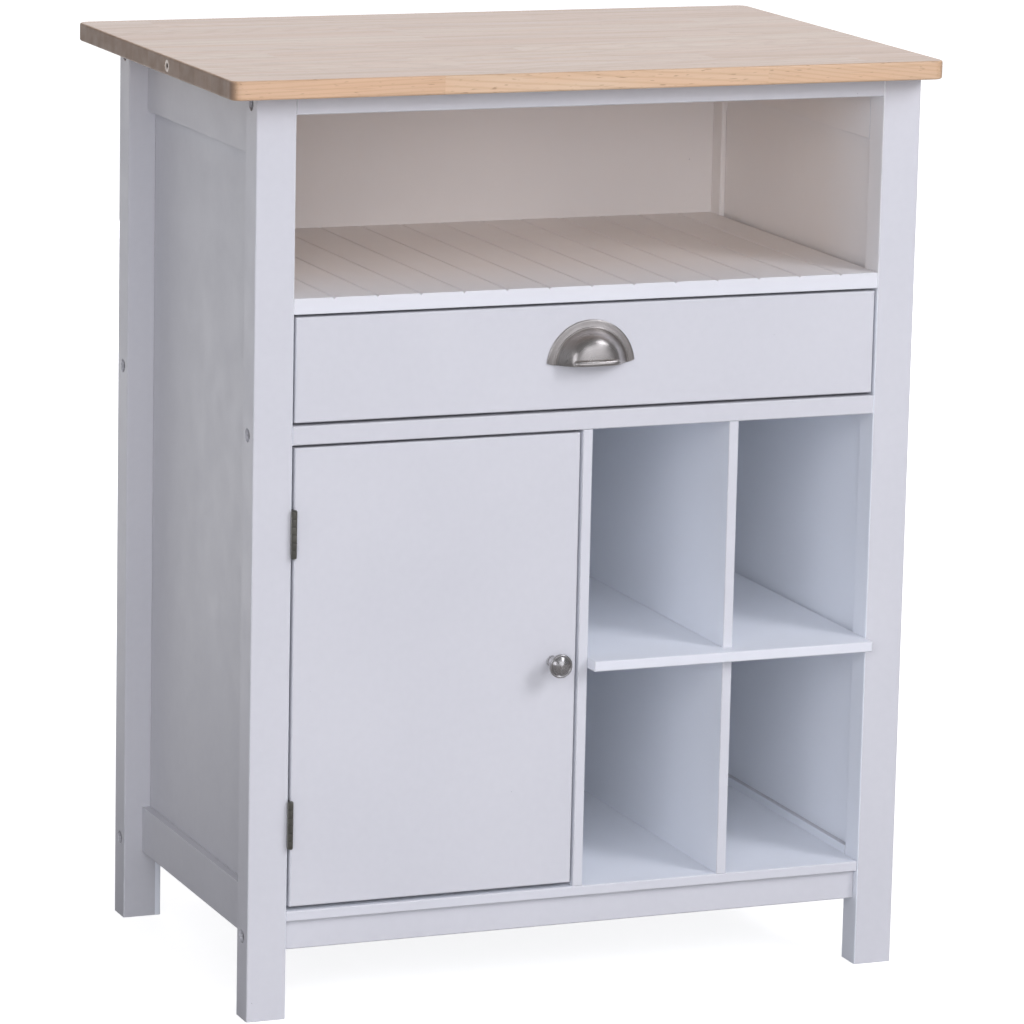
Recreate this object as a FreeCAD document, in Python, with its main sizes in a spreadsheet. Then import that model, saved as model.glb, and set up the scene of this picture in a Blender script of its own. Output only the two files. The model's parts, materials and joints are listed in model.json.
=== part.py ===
import FreeCAD, Part
import math
import os
from types import SimpleNamespace

import Sketcher

# Kitchen sideboard: a white post-and-rail cabinet under a wooden worktop, with an open bay, a drawer,
# a cupboard door and four cubbies. X runs to the right, Y from the front to the back, Z up, in mm.
# The origin is on the floor, under the middle of the worktop.

os.makedirs("parts", exist_ok=True)
doc = FreeCAD.newDocument("Sideboard")

# Driving sizes
driving_sizes = [
    ("body_width", 674, "across the outer faces of the posts"),
    ("body_depth", 407, "from the front to the back faces of the posts"),
    ("total_height", 900, "floor to the worktop's upper face"),
    ("top_thick", 18, "worktop thickness"),
    ("over_left", 35, "worktop beyond the left posts"),
    ("over_right", 9, "worktop beyond the right posts"),
    ("over_front", 34, "worktop beyond the front posts"),
    ("over_back", 29, "worktop beyond the rear posts"),
    ("top_corner", 11, "radius of the worktop's corners in plan"),
    ("top_ease", 1.5, "bevel along the worktop's edges"),
    ("post_wide", 39, "post section along X"),
    ("post_deep", 30, "post section along Y"),
    ("post_ease", 1.5, "radius along a post's edges"),
    ("side_rail_thick", 20, "side rail section along X"),
    ("upper_side_rail", 64, "upper side rail height"),
    ("lower_side_rail", 46, "lower side rail height"),
    ("lower_side_rise", 68, "floor to the lower side rail"),
    ("tenon_long", 10, "stub tenon into a post"),
    ("tenon_thick", 10, "stub tenon thickness"),
    ("tenon_shoulder", 8, "rail edge to its tenon"),
    ("panel_thick", 6, "side panel thickness"),
    ("panel_inset", 27.5, "post's outer face to the side panel"),
    ("groove_deep", 6, "depth of the panel grooves"),
    ("groove_spare", 0.5, "panel edge to the bottom of its groove"),
    ("fit_gap", 0.1, "clearance on each side of a glued or housed joint"),
    ("rail_deep", 30, "front and back rail section along Y"),
    ("top_rail_high", 19, "top rail height"),
    ("middle_rail_high", 18, "middle rail height"),
    ("bottom_rail_high", 29, "bottom rail height"),
    ("bottom_rise", 66, "floor to the bottom rails"),
    ("bottom_setback", 8, "bottom front rail behind the posts' front"),
    ("bay_high", 171, "clear height of the open bay"),
    ("shelf_thick", 15, "grooved shelf thickness"),
    ("drawer_space", 105, "opening height for the drawer"),
    ("plank_pitch", 43.1, "spacing of the shelf's V grooves"),
    ("plank_count", 13, "number of V grooves in the shelf"),
    ("plank_groove", 1.6, "depth and half width of a V groove"),
    ("cleat_thick", 12, "shelf cleat thickness"),
    ("cleat_high", 16, "shelf cleat height"),
    ("deck_thick", 10, "deck board under the drawer"),
    ("deck_ledge", 8, "rebate in the middle rails that carries the deck"),
    ("bottom_board_thick", 10, "bottom board thickness"),
    ("back_thick", 5, "back panel thickness"),
    ("back_inset", 3.5, "back panel in from the rear faces of the posts"),
    ("board_setback", 1.5, "front edges of the boards behind the posts' front"),
    ("board_ease", 0.8, "bevel along the boards' front edges"),
    ("partition_thick", 10, "upright between the cupboard and the cubbies"),
    ("divider_thick", 10, "upright between the cubbies"),
    ("cubby_shelf_thick", 10, "cubby shelf thickness"),
    ("cubby_shelf_proud", 16.5, "cubby shelf in front of the posts"),
    ("lower_cubby_high", 216, "clear height of the lower cubbies"),
    ("pin_radius", 2.5, "shelf pin radius"),
    ("pin_long", 16, "shelf pin length"),
    ("pin_set", 7, "length of a shelf pin in its hole"),
    ("pin_from_edge", 60, "partition's edge to a shelf pin"),
    ("bolt_radius", 3, "frame bolt shank radius"),
    ("bolt_long", 62, "frame bolt length under the head"),
    ("bolt_head", 6, "frame bolt head radius"),
    ("bolt_head_thick", 5, "frame bolt head thickness"),
    ("bolt_socket", 2.9, "corner radius of the head's hexagon socket"),
    ("bolt_socket_deep", 3, "depth of the hexagon socket"),
    ("bolt_clear", 0.2, "bolt to its hole, all round"),
    ("counterbore", 6.5, "radius of the counterbore for a bolt head"),
    ("counterbore_deep", 8, "depth of the counterbore"),
    ("bolt_inset", 16, "bolt axis from the post's front or rear face"),
    ("insert_radius", 6, "threaded insert radius"),
    ("insert_long", 14, "threaded insert length"),
    ("insert_bore", 2.1, "radius of the insert's threaded hole"),
    ("insert_from_front", 190, "worktop's front edge to the insert"),
    ("reveal", 2.8, "gap above and below the drawer front, and above the door"),
    ("side_reveal", 2.3, "gap at each end of the drawer front"),
    ("front_setback", 1, "drawer front and door behind the posts' front"),
    ("front_ease", 1.5, "radius along the edges of the drawer front and the door"),
    ("drawer_front_thick", 15, "drawer front thickness"),
    ("drawer_side_thick", 12, "drawer side thickness"),
    ("drawer_side_high", 70, "drawer side height"),
    ("drawer_spare", 27.5, "drawer's rear end to the back panel"),
    ("drawer_lift", 6, "drawer side above the deck"),
    ("drawer_side_gap", 6.5, "post to the drawer side"),
    ("drawer_housing", 6, "depth of the housings in the drawer front"),
    ("drawer_back_housing", 3, "depth of the housings in the drawer sides"),
    ("drawer_base_thick", 4, "drawer bottom thickness"),
    ("drawer_base_rise", 8, "drawer side's lower edge to the drawer bottom"),
    ("drawer_base_groove", 5, "depth of the grooves for the drawer bottom"),
    ("runner_thick", 12, "drawer runner thickness"),
    ("runner_high", 14, "drawer runner height"),
    ("runner_rise", 28, "drawer side's lower edge to the runner"),
    ("runner_clear", 0.4, "runner to the groove in the drawer side"),
    ("pull_radius", 45, "outer radius of the cup pull's flange"),
    ("pull_high", 40, "height of the cup pull"),
    ("pull_rise", 45, "drawer front's lower edge to the cup pull"),
    ("pull_deep", 25, "depth of the cup pull"),
    ("pull_wall", 1.6, "wall of the cup pull"),
    ("pull_flange", 7.5, "width of the cup pull's flange"),
    ("pull_flange_step", 4, "height of the flange's inner edge"),
    ("pull_face_share", 0.62, "radius of the cup pull's face as a share of its bowl"),
    ("door_thick", 15, "door thickness"),
    ("door_gap", 3, "gap at the door's free edge"),
    ("door_rise", 4.5, "gap at the door's lower edge"),
    ("hinge_gap", 2.9, "gap at the door's hinged edge"),
    ("knob_from_edge", 24, "door's free edge to the knob"),
    ("knob_radius", 11.5, "radius of the knob's head"),
    ("knob_long", 26, "knob in front of the door"),
    ("knob_base", 7, "radius of the knob's foot"),
    ("knob_base_thick", 2.5, "thickness of the knob's foot"),
    ("knob_neck", 4.5, "radius of the knob's neck"),
    ("knob_head_long", 8, "length of the knob's head"),
    ("knob_bevel", 1.5, "bevel round the knob's face"),
    ("knob_dish", 8.5, "outer radius of the ring groove in the knob's face"),
    ("knob_groove", 1.2, "width and depth of that ring groove"),
    ("hinge_high", 45, "hinge height"),
    ("hinge_inset", 81, "door's upper or lower edge to a hinge's middle"),
    ("leaf_thick", 1.2, "hinge leaf thickness"),
    ("leaf_wide", 12.5, "hinge leaf behind the posts' front"),
    ("leaf_clear", 0.3, "hinge leaf to the other leaf's knuckles"),
    ("knuckle_radius", 2.9, "hinge knuckle radius"),
    ("knuckle_count", 6, "knuckles in a hinge"),
    ("knuckle_gap", 0.2, "gap between knuckles"),
    ("hinge_pin_radius", 1.5, "hinge pin radius"),
    ("hinge_pin_clear", 0.05, "hinge pin to its bore, all round"),
    ("hinge_pin_head", 2.3, "radius of the hinge pin's heads"),
    ("hinge_pin_head_thick", 0.7, "thickness of the hinge pin's heads"),
    ("catch_long", 40, "magnetic catch along X"),
    ("catch_deep", 14, "magnetic catch along Y"),
    ("catch_high", 12, "magnetic catch along Z"),
    ("catch_from_edge", 20, "door's free edge to the magnetic catch"),
    ("catch_gap", 0.3, "magnet to its plate"),
    ("plate_thick", 1.2, "strike plate thickness"),
    ("plate_margin", 4, "magnetic catch's end to the strike plate"),
]

sheet = doc.addObject("Spreadsheet::Sheet", "Sizes")
for row, (alias, number, meaning) in enumerate(driving_sizes, 1):
    sheet.set(f"A{row}", meaning)
    sheet.set(f"B{row}", str(number))
    sheet.setAlias(f"B{row}", alias)
doc.recompute()


class Size:
    # A length with its value in mm and the formula over the sheet's cells that gives it.
    def __init__(self, formula, mm):
        self.formula = formula
        self.mm = mm

    def join(self, sign, other, work):
        other = other if isinstance(other, Size) else Size(str(other), other)
        return Size(f"({self.formula} {sign} {other.formula})", work(self.mm, other.mm))

    def __add__(self, other):
        return self.join("+", other, lambda a, b: a + b)

    def __sub__(self, other):
        return self.join("-", other, lambda a, b: a - b)

    def __mul__(self, other):
        return self.join("*", other, lambda a, b: a * b)

    def __truediv__(self, other):
        return self.join("/", other, lambda a, b: a / b)

    def __neg__(self):
        return Size(f"(-1 * {self.formula})", -self.mm)


size = SimpleNamespace(**{alias: Size(f"Sizes.{alias}", number) for alias, number, _ in driving_sizes})
zero = Size("0", 0)
sub_parts = []

plane_roles = {"X": "YZ_Plane", "Y": "XZ_Plane", "Z": "XY_Plane"}
plane_normals = {"X": 1, "Y": -1, "Z": 1}
plane_axes = {"X": (1, 2), "Y": (0, 2), "Z": (0, 1)}
least = 1e-7
few_sides = 12
barrel_sides = 24


def hold(sketch, geometry, point, along, up):
    # Holds a sketch point at its two distances from the sketch's origin.
    for kind, axis, distance in (("DistanceX", -2, along), ("DistanceY", -1, up)):
        if abs(distance.mm) < least:
            sketch.addConstraint(Sketcher.Constraint("PointOnObject", geometry, point, axis))
        else:
            rule = Sketcher.Constraint(kind, -1, 1, geometry, point, distance.mm)
            sketch.setExpression(f"Constraints[{sketch.addConstraint(rule)}]", distance.formula)


class Piece:
    # One separate piece of the sideboard, drawn in the sideboard's own coordinates.
    def __init__(self, label, at, counts=True):
        self.label = label
        self.at = at
        self.body = doc.addObject("PartDesign::Body", label)
        self.body.Label = label
        for axis, place in zip("xyz", at):
            self.body.setExpression(f"Placement.Base.{axis}", place.formula)
        if counts:
            sub_parts.append(self.body)

    def sketch(self, axis, level):
        # A sketch across the axis, at that level along it.
        planes = self.body.Origin.OriginFeatures
        sketch = self.body.newObject("Sketcher::SketchObject", f"{self.label}_sketch")
        sketch.AttachmentSupport = [(next(p for p in planes if p.Role == plane_roles[axis]), "")]
        sketch.MapMode = "FlatFace"
        offset = (level - self.at["XYZ".index(axis)]) * plane_normals[axis]
        sketch.setExpression("AttachmentOffset.Base.z", offset.formula)
        return sketch

    def outline(self, axis, level, corners):
        # Closed outline of straight lines.
        sketch = self.sketch(axis, level)
        first, second = plane_axes[axis]
        places = [(corner[0] - self.at[first], corner[1] - self.at[second]) for corner in corners]
        points = [FreeCAD.Vector(along.mm, up.mm, 0) for along, up in places]
        for i, start in enumerate(points):
            sketch.addGeometry(Part.LineSegment(start, points[(i + 1) % len(points)]), False)
        for i in range(len(points)):
            sketch.addConstraint(Sketcher.Constraint("Coincident", i, 2, (i + 1) % len(points), 1))
        for i, (along, up) in enumerate(places):
            hold(sketch, i, 1, along, up)
        return sketch

    def circle(self, axis, level, centre, radius):
        sketch = self.sketch(axis, level)
        first, second = plane_axes[axis]
        along, up = centre[0] - self.at[first], centre[1] - self.at[second]
        middle = FreeCAD.Vector(along.mm, up.mm, 0)
        sketch.addGeometry(Part.Circle(middle, FreeCAD.Vector(0, 0, 1), radius.mm), False)
        hold(sketch, 0, 3, along, up)
        number = sketch.addConstraint(Sketcher.Constraint("Radius", 0, radius.mm))
        sketch.setExpression(f"Constraints[{number}]", radius.formula)
        return sketch

    def sided(self, axis, level, centre, radius, sides=few_sides):
        # Regular outline with its corners on a circle, for small shanks, barrels and their holes.
        turns = [math.tau * i / sides for i in range(sides)]
        corners = [
            (centre[0] + radius * math.cos(turn), centre[1] + radius * math.sin(turn)) for turn in turns
        ]
        return self.outline(axis, level, corners)

    def extrude(self, kind, sketch, axis, start, stop):
        feature = self.body.newObject(f"PartDesign::{kind}", f"{self.label}_{kind.lower()}")
        feature.Profile = sketch
        towards = 1 if stop.mm > start.mm else -1
        with_normal = towards == plane_normals[axis]
        feature.Reversed = with_normal if kind == "Pocket" else not with_normal
        feature.setExpression("Length", ((stop - start) * towards).formula)
        return feature

    def box_outline(self, low, high):
        corners = [(low[0], low[1]), (high[0], low[1]), (high[0], high[1]), (low[0], high[1])]
        return self.outline("Z", low[2], corners)

    def block(self, low, high):
        return self.extrude("Pad", self.box_outline(low, high), "Z", low[2], high[2])

    def cut(self, low, high):
        return self.extrude("Pocket", self.box_outline(low, high), "Z", low[2], high[2])

    def bore(self, axis, centre, radius, start, stop):
        return self.extrude("Pocket", self.circle(axis, start, centre, radius), axis, start, stop)

    def hole(self, axis, centre, radius, start, stop, sides=few_sides):
        return self.extrude("Pocket", self.sided(axis, start, centre, radius, sides), axis, start, stop)

    def turn(self, corners, angle=360, backward=False):
        # A turned form: the outline, in the plane of X and Y, carried round a line along Y.
        profile = self.outline("Z", self.at[2], corners)
        feature = self.body.newObject("PartDesign::Revolution", f"{self.label}_turned")
        feature.Profile = profile
        feature.ReferenceAxis = (profile, ["V_Axis"])
        feature.Angle = angle
        feature.Reversed = backward
        return feature

    def repeat(self, features, axis, pitch, count):
        # Equal steps of some features along an axis of the piece.
        pattern = self.body.newObject("PartDesign::LinearPattern", f"{self.label}_pattern")
        pattern.Originals = features
        lines = self.body.Origin.OriginFeatures
        pattern.Direction = (next(line for line in lines if line.Role == f"{axis}_Axis"), [""])
        pattern.setExpression("Length", (pitch * (count - 1)).formula)
        pattern.setExpression("Occurrences", count.formula)
        self.body.Tip = pattern
        return pattern

    def ease(self, kind, amount, chosen):
        # Rounds (Fillet) or bevels (Chamfer) the edges that the test picks.
        doc.recompute()
        base = self.body.Tip
        names = [f"Edge{i}" for i, edge in enumerate(base.Shape.Edges, 1) if chosen(edge)]
        feature = self.body.newObject(f"PartDesign::{kind}", f"{self.label}_{kind.lower()}")
        feature.Base = (base, names)
        feature.setExpression("Radius" if kind == "Fillet" else "Size", amount.formula)
        return feature

    def on(self, axis, level):
        # Test for edges that lie in the plane across the axis at that level.
        number = "XYZ".index(axis)
        local = level.mm - self.at[number].mm
        return lambda edge: all(abs(vertex.Point[number] - local) < least for vertex in edge.Vertexes)


def upright(edge):
    ends = [vertex.Point for vertex in edge.Vertexes]
    return len(ends) == 2 and abs(abs(ends[0].z - ends[1].z) - ends[0].distanceToPoint(ends[1])) < least


def board(label, low, high):
    piece = Piece(label, low)
    piece.block(low, high)
    return piece


def copies(label, master, places):
    # A group of equal pieces, each at its own place and turn.
    links = []
    for place, rotation in places:
        link = doc.addObject("App::Link", f"{label}_copy")
        link.LinkedObject = master.body
        link.Placement = FreeCAD.Placement(FreeCAD.Vector(), rotation)
        for axis, distance in zip("xyz", place):
            link.setExpression(f"Placement.Base.{axis}", distance.formula)
        links.append(link)
    group = doc.addObject("Part::Compound", label)
    group.Label = label
    group.Links = links
    sub_parts.append(group)


straight = FreeCAD.Rotation()
about_z = FreeCAD.Vector(0, 0, 1)
half_turn = FreeCAD.Rotation(about_z, 180)

# Levels and faces that several pieces share
worktop_wide = size.body_width + size.over_left + size.over_right
worktop_deep = size.body_depth + size.over_front + size.over_back
left = size.over_left - worktop_wide / 2
right = left + size.body_width
front = size.over_front - worktop_deep / 2
back = front + size.body_depth
inner_left = left + size.post_wide
inner_right = right - size.post_wide
middle = (left + right) / 2
under_top = size.total_height - size.top_thick
top_rail_z = under_top - size.top_rail_high
shelf_top = top_rail_z - size.bay_high
shelf_z = shelf_top - size.shelf_thick
middle_top = shelf_z - size.drawer_space
middle_z = middle_top - size.middle_rail_high
deck_z = middle_top - size.deck_thick
base_top = size.bottom_rise + size.bottom_rail_high
floor_top = base_top + size.bottom_board_thick
back_panel_back = back - size.back_inset
back_panel_front = back_panel_back - size.back_thick
panel_tongue = size.groove_deep - size.groove_spare
side_low_top = size.lower_side_rise + size.lower_side_rail
side_high_z = under_top - size.upper_side_rail
levels = {
    "top": (top_rail_z, under_top),
    "middle": (middle_z, middle_top),
    "bottom": (size.bottom_rise, base_top),
}
side_levels = {"upper": (side_high_z, under_top), "lower": (size.lower_side_rise, side_low_top)}


def inward(side, distance):
    # Distance from the outer face of the left or right posts towards the middle.
    return left + distance if side == "left" else right - distance


def from_end(end, distance):
    # Distance from the front or rear faces of the posts towards the middle.
    return front + distance if end == "front" else back - distance


def span(one, other):
    return (one, other) if one.mm < other.mm else (other, one)


def rail_middle(level):
    return (levels[level][0] + levels[level][1]) / 2


# Worktop and the threaded insert in its left edge
worktop_left = left - size.over_left
worktop_front = front - size.over_front
insert_y = worktop_front + size.insert_from_front
insert_z = under_top + size.top_thick / 2

worktop = board(
    "worktop",
    (worktop_left, worktop_front, under_top),
    (right + size.over_right, back + size.over_back, size.total_height),
)
worktop.ease("Fillet", size.top_corner, upright)
worktop.ease("Chamfer", size.top_ease, worktop.on("Z", size.total_height))
worktop.ease("Chamfer", size.top_ease, worktop.on("Z", under_top))
insert_end = worktop_left + size.insert_long
insert_hole = size.insert_radius + size.fit_gap / 2
insert_centre = (insert_y, insert_z)
worktop.hole("X", insert_centre, insert_hole, worktop_left, insert_end, sides=barrel_sides)

insert = Piece("worktop_edge_insert", (worktop_left, insert_y, insert_z))
insert_face = insert.sided("X", worktop_left, insert_centre, size.insert_radius, sides=barrel_sides)
insert.extrude("Pad", insert_face, "X", worktop_left, insert_end)
insert.bore("X", insert_centre, size.insert_bore, worktop_left, insert_end)

# Hinges: places that the post, the door and the leaves share
door_left = inner_left + size.hinge_gap
door_right = middle - size.partition_thick / 2 - size.door_gap
door_z = floor_top + size.door_rise
door_top = middle_z - size.reveal
door_front = front + size.front_setback
door_back = door_front + size.door_thick
hinge_x = inner_left + size.hinge_gap / 2
hinge_y = front - size.knuckle_radius
hinge_middles = {"upper": door_top - size.hinge_inset, "lower": door_z + size.hinge_inset}

# Shelf pins: places that the partition, the right posts and the cubby shelf share
cubby_shelf_z = floor_top + size.lower_cubby_high
cubby_shelf_top = cubby_shelf_z + size.cubby_shelf_thick
pin_z = cubby_shelf_z - size.pin_radius
pin_hole = size.pin_radius + size.fit_gap / 2
partition_right = middle + size.partition_thick / 2
board_front = front + size.board_setback
partition_pin_y = [board_front + size.pin_from_edge, back_panel_front - size.pin_from_edge]
post_pin_y = [from_end(end, size.post_deep / 2) for end in ("front", "rear")]


# Posts with panel grooves, mortises for the side rails and counterbored bolt holes
def make_post(side, end):
    x_span = span(inward(side, zero), inward(side, size.post_wide))
    y_span = span(from_end(end, zero), from_end(end, size.post_deep))
    post = board(f"post_{end}_{side}", (x_span[0], y_span[0], zero), (x_span[1], y_span[1], under_top))
    post.ease("Fillet", size.post_ease, upright)

    panel_near = size.panel_inset - size.fit_gap
    panel_far = size.panel_inset + size.panel_thick + size.fit_gap
    groove_x = span(inward(side, panel_near), inward(side, panel_far))
    groove_y = span(from_end(end, size.post_deep), from_end(end, size.post_deep - size.groove_deep))
    groove_z = (side_low_top - size.groove_deep, side_high_z + size.groove_deep)
    post.cut((groove_x[0], groove_y[0], groove_z[0]), (groove_x[1], groove_y[1], groove_z[1]))

    rail_centre = size.post_wide - size.side_rail_thick / 2
    tenon_half = size.tenon_thick / 2 + size.fit_gap
    mortise_x = span(inward(side, rail_centre - tenon_half), inward(side, rail_centre + tenon_half))
    mortise_end = size.post_deep - size.tenon_long - size.fit_gap
    mortise_y = span(from_end(end, size.post_deep), from_end(end, mortise_end))
    for low, high in side_levels.values():
        mortise_low = low + size.tenon_shoulder - size.fit_gap
        mortise_high = high - size.tenon_shoulder + size.fit_gap
        post.cut((mortise_x[0], mortise_y[0], mortise_low), (mortise_x[1], mortise_y[1], mortise_high))

    bolt_y = from_end(end, size.bolt_inset)
    outer, seat = inward(side, zero), inward(side, size.counterbore_deep)
    for level in levels:
        centre = (bolt_y, rail_middle(level))
        post.bore("X", centre, size.counterbore, outer, seat)
        post.hole("X", centre, size.bolt_radius + size.bolt_clear, seat, inward(side, size.post_wide))
    return post


posts = {(side, end): make_post(side, end) for side in ("left", "right") for end in ("front", "rear")}
for side in ("left", "right"):
    groove_x = span(inward(side, size.post_wide - size.groove_deep), inward(side, size.post_wide))
    posts[side, "rear"].cut(
        (groove_x[0], back_panel_front - size.fit_gap, base_top - size.groove_deep),
        (groove_x[1], back_panel_back + size.fit_gap, top_rail_z + size.groove_deep),
    )
for end, y in zip(("front", "rear"), post_pin_y):
    posts["right", end].hole("X", (y, pin_z), pin_hole, inner_right, inner_right + size.pin_set)


# Side frames: rails with stub tenons, and a panel held in grooves on all four edges
def make_side_rail(side, level):
    low, high = side_levels[level]
    x_span = span(inward(side, size.post_wide - size.side_rail_thick), inward(side, size.post_wide))
    y_span = (front + size.post_deep, back - size.post_deep)
    rail = board(f"{level}_side_rail_{side}", (x_span[0], y_span[0], low), (x_span[1], y_span[1], high))
    centre = (x_span[0] + x_span[1]) / 2
    rail.block(
        (centre - size.tenon_thick / 2, y_span[0] - size.tenon_long, low + size.tenon_shoulder),
        (centre + size.tenon_thick / 2, y_span[1] + size.tenon_long, high - size.tenon_shoulder),
    )
    panel_near = size.panel_inset - size.fit_gap
    panel_far = size.panel_inset + size.panel_thick + size.fit_gap
    groove_x = span(inward(side, panel_near), inward(side, panel_far))
    groove_z = (low, low + size.groove_deep) if level == "upper" else (high - size.groove_deep, high)
    rail.cut((groove_x[0], y_span[0], groove_z[0]), (groove_x[1], y_span[1], groove_z[1]))


for side in ("left", "right"):
    for level in side_levels:
        make_side_rail(side, level)
    panel_x = span(inward(side, size.panel_inset), inward(side, size.panel_inset + size.panel_thick))
    panel_y = (front + size.post_deep - panel_tongue, back - size.post_deep + panel_tongue)
    panel_z = (side_low_top - panel_tongue, side_high_z + panel_tongue)
    board(
        f"side_panel_{side}",
        (panel_x[0], panel_y[0], panel_z[0]),
        (panel_x[1], panel_y[1], panel_z[1]),
    )


# Front and back rails, bolted through the posts
def make_rail(level, end):
    low, high = levels[level]
    setback = size.bottom_setback if (level, end) == ("bottom", "front") else zero
    y_span = span(from_end(end, setback), from_end(end, size.rail_deep))
    name = "back" if end == "rear" else "front"
    rail = board(f"{level}_{name}_rail", (inner_left, y_span[0], low), (inner_right, y_span[1], high))
    rail.ease("Chamfer", size.board_ease, rail.on("Y", from_end(end, setback)))
    centre = (from_end(end, size.bolt_inset), rail_middle(level))
    reach = size.bolt_long + size.counterbore_deep - size.post_wide + size.groove_spare
    for start, stop in ((inner_left, inner_left + reach), (inner_right, inner_right - reach)):
        rail.hole("X", centre, size.bolt_radius + size.bolt_clear, start, stop)
    if level == "middle":
        ledge_y = span(from_end(end, size.rail_deep - size.deck_ledge), from_end(end, size.rail_deep))
        rail.cut((inner_left, ledge_y[0], deck_z), (inner_right, ledge_y[1], high))
    if end == "rear":
        groove_y = (back_panel_front - size.fit_gap, back_panel_back + size.fit_gap)
        if level != "bottom":
            rail.cut(
                (inner_left, groove_y[0], low),
                (inner_right, groove_y[1], low + size.groove_deep),
            )
        if level != "top":
            rail.cut(
                (inner_left, groove_y[0], high - size.groove_deep),
                (inner_right, groove_y[1], high),
            )


for level in levels:
    for end in ("front", "rear"):
        make_rail(level, end)

# Back panels, held in the grooves of the rear posts and the back rails
back_panel_x = (inner_left - panel_tongue, inner_right + panel_tongue)
for name, low, high in (("upper", middle_top, top_rail_z), ("lower", base_top, middle_z)):
    board(
        f"{name}_back_panel",
        (back_panel_x[0], back_panel_front, low - panel_tongue),
        (back_panel_x[1], back_panel_back, high + panel_tongue),
    )

# Frame bolts with hexagon-socket heads, drawn along X from the seat of the head
bolt = Piece("frame_bolt_form", (zero, zero, zero), counts=False)
bolt_head = bolt.sided("X", zero, (zero, zero), size.bolt_head)
bolt.extrude("Pad", bolt_head, "X", zero, -size.bolt_head_thick)
bolt_shank = bolt.sided("X", zero, (zero, zero), size.bolt_radius)
bolt.extrude("Pad", bolt_shank, "X", zero, size.bolt_long)
socket = bolt.sided("X", -size.bolt_head_thick, (zero, zero), size.bolt_socket, sides=6)
socket_end = size.bolt_socket_deep - size.bolt_head_thick
bolt.extrude("Pocket", socket, "X", -size.bolt_head_thick, socket_end)
copies("frame_bolts", bolt, [
    ((inward(side, size.counterbore_deep), from_end(end, size.bolt_inset), rail_middle(level)),
     straight if side == "left" else half_turn)
    for side in ("left", "right") for end in ("front", "rear") for level in levels
])

# Grooved shelf of the open bay, on two cleats
shelf = board(
    "grooved_shelf",
    (inner_left + size.fit_gap, front + size.front_setback, shelf_z),
    (inner_right - size.fit_gap, back_panel_front - size.fit_gap, shelf_top),
)
first_groove = middle - size.plank_pitch * (size.plank_count - 1) / 2
groove_outline = shelf.outline("Y", shelf.at[1], [
    (first_groove - size.plank_groove, shelf_top),
    (first_groove, shelf_top - size.plank_groove),
    (first_groove + size.plank_groove, shelf_top),
])
plank_groove = shelf.extrude(
    "Pocket", groove_outline, "Y", shelf.at[1], back_panel_front - size.fit_gap
)
shelf.repeat([plank_groove], "X", size.plank_pitch, size.plank_count)

drawer_back_of_front = door_front + size.drawer_front_thick
cleat_y = (drawer_back_of_front + size.reveal, back_panel_front - size.fit_gap)
for side in ("left", "right"):
    cleat_x = span(inward(side, size.post_wide), inward(side, size.post_wide + size.cleat_thick))
    board(
        f"shelf_cleat_{side}",
        (cleat_x[0], cleat_y[0], shelf_z - size.cleat_high),
        (cleat_x[1], cleat_y[1], shelf_z),
    )

# Deck under the drawer, in the rebates of the middle rails
board(
    "drawer_deck",
    (inner_left + size.fit_gap, front + size.rail_deep - size.deck_ledge + size.fit_gap, deck_z),
    (inner_right - size.fit_gap, back - size.rail_deep + size.deck_ledge - size.fit_gap, middle_top),
)

# Bottom board on the bottom rails
bottom_board = board(
    "bottom_board",
    (inner_left, board_front, base_top),
    (inner_right, back_panel_front, floor_top),
)
bottom_board.ease("Chamfer", size.board_ease, bottom_board.on("Y", board_front))

# Partition and cubby divider, notched round the middle rails
notch_front = front + size.rail_deep + size.fit_gap
notch_back = back - size.rail_deep - size.fit_gap
upright_top = [
    (back_panel_front, middle_z),
    (notch_back, middle_z),
    (notch_back, deck_z),
    (notch_front, deck_z),
    (notch_front, middle_z),
    (board_front, middle_z),
]
upright_foot = [(board_front, floor_top), (back_panel_front, floor_top)]

partition_left = partition_right - size.partition_thick
partition = Piece("partition", (partition_left, board_front, floor_top))
partition_outline = partition.outline("X", partition_left, upright_foot + upright_top)
partition.extrude("Pad", partition_outline, "X", partition_left, partition_right)
partition.ease("Chamfer", size.board_ease, partition.on("Y", board_front))
for y in partition_pin_y:
    partition.hole("X", (y, pin_z), pin_hole, partition_right, partition_right - size.pin_set)

# Half-lap of the divider and the cubby shelf: slots that meet at the middle of the depth
lap_y = (board_front + back_panel_front) / 2
divider_left = (partition_right + inner_right - size.divider_thick) / 2
divider_right = divider_left + size.divider_thick
lap_slot = [
    (board_front, cubby_shelf_top + size.fit_gap),
    (lap_y + size.fit_gap, cubby_shelf_top + size.fit_gap),
    (lap_y + size.fit_gap, cubby_shelf_z - size.fit_gap),
    (board_front, cubby_shelf_z - size.fit_gap),
]
divider = Piece("cubby_divider", (divider_left, board_front, floor_top))
divider_outline = divider.outline("X", divider_left, upright_foot + upright_top + lap_slot)
divider.extrude("Pad", divider_outline, "X", divider_left, divider_right)
divider.ease("Chamfer", size.board_ease, lambda edge: divider.on("Y", board_front)(edge) and upright(edge))

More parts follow.
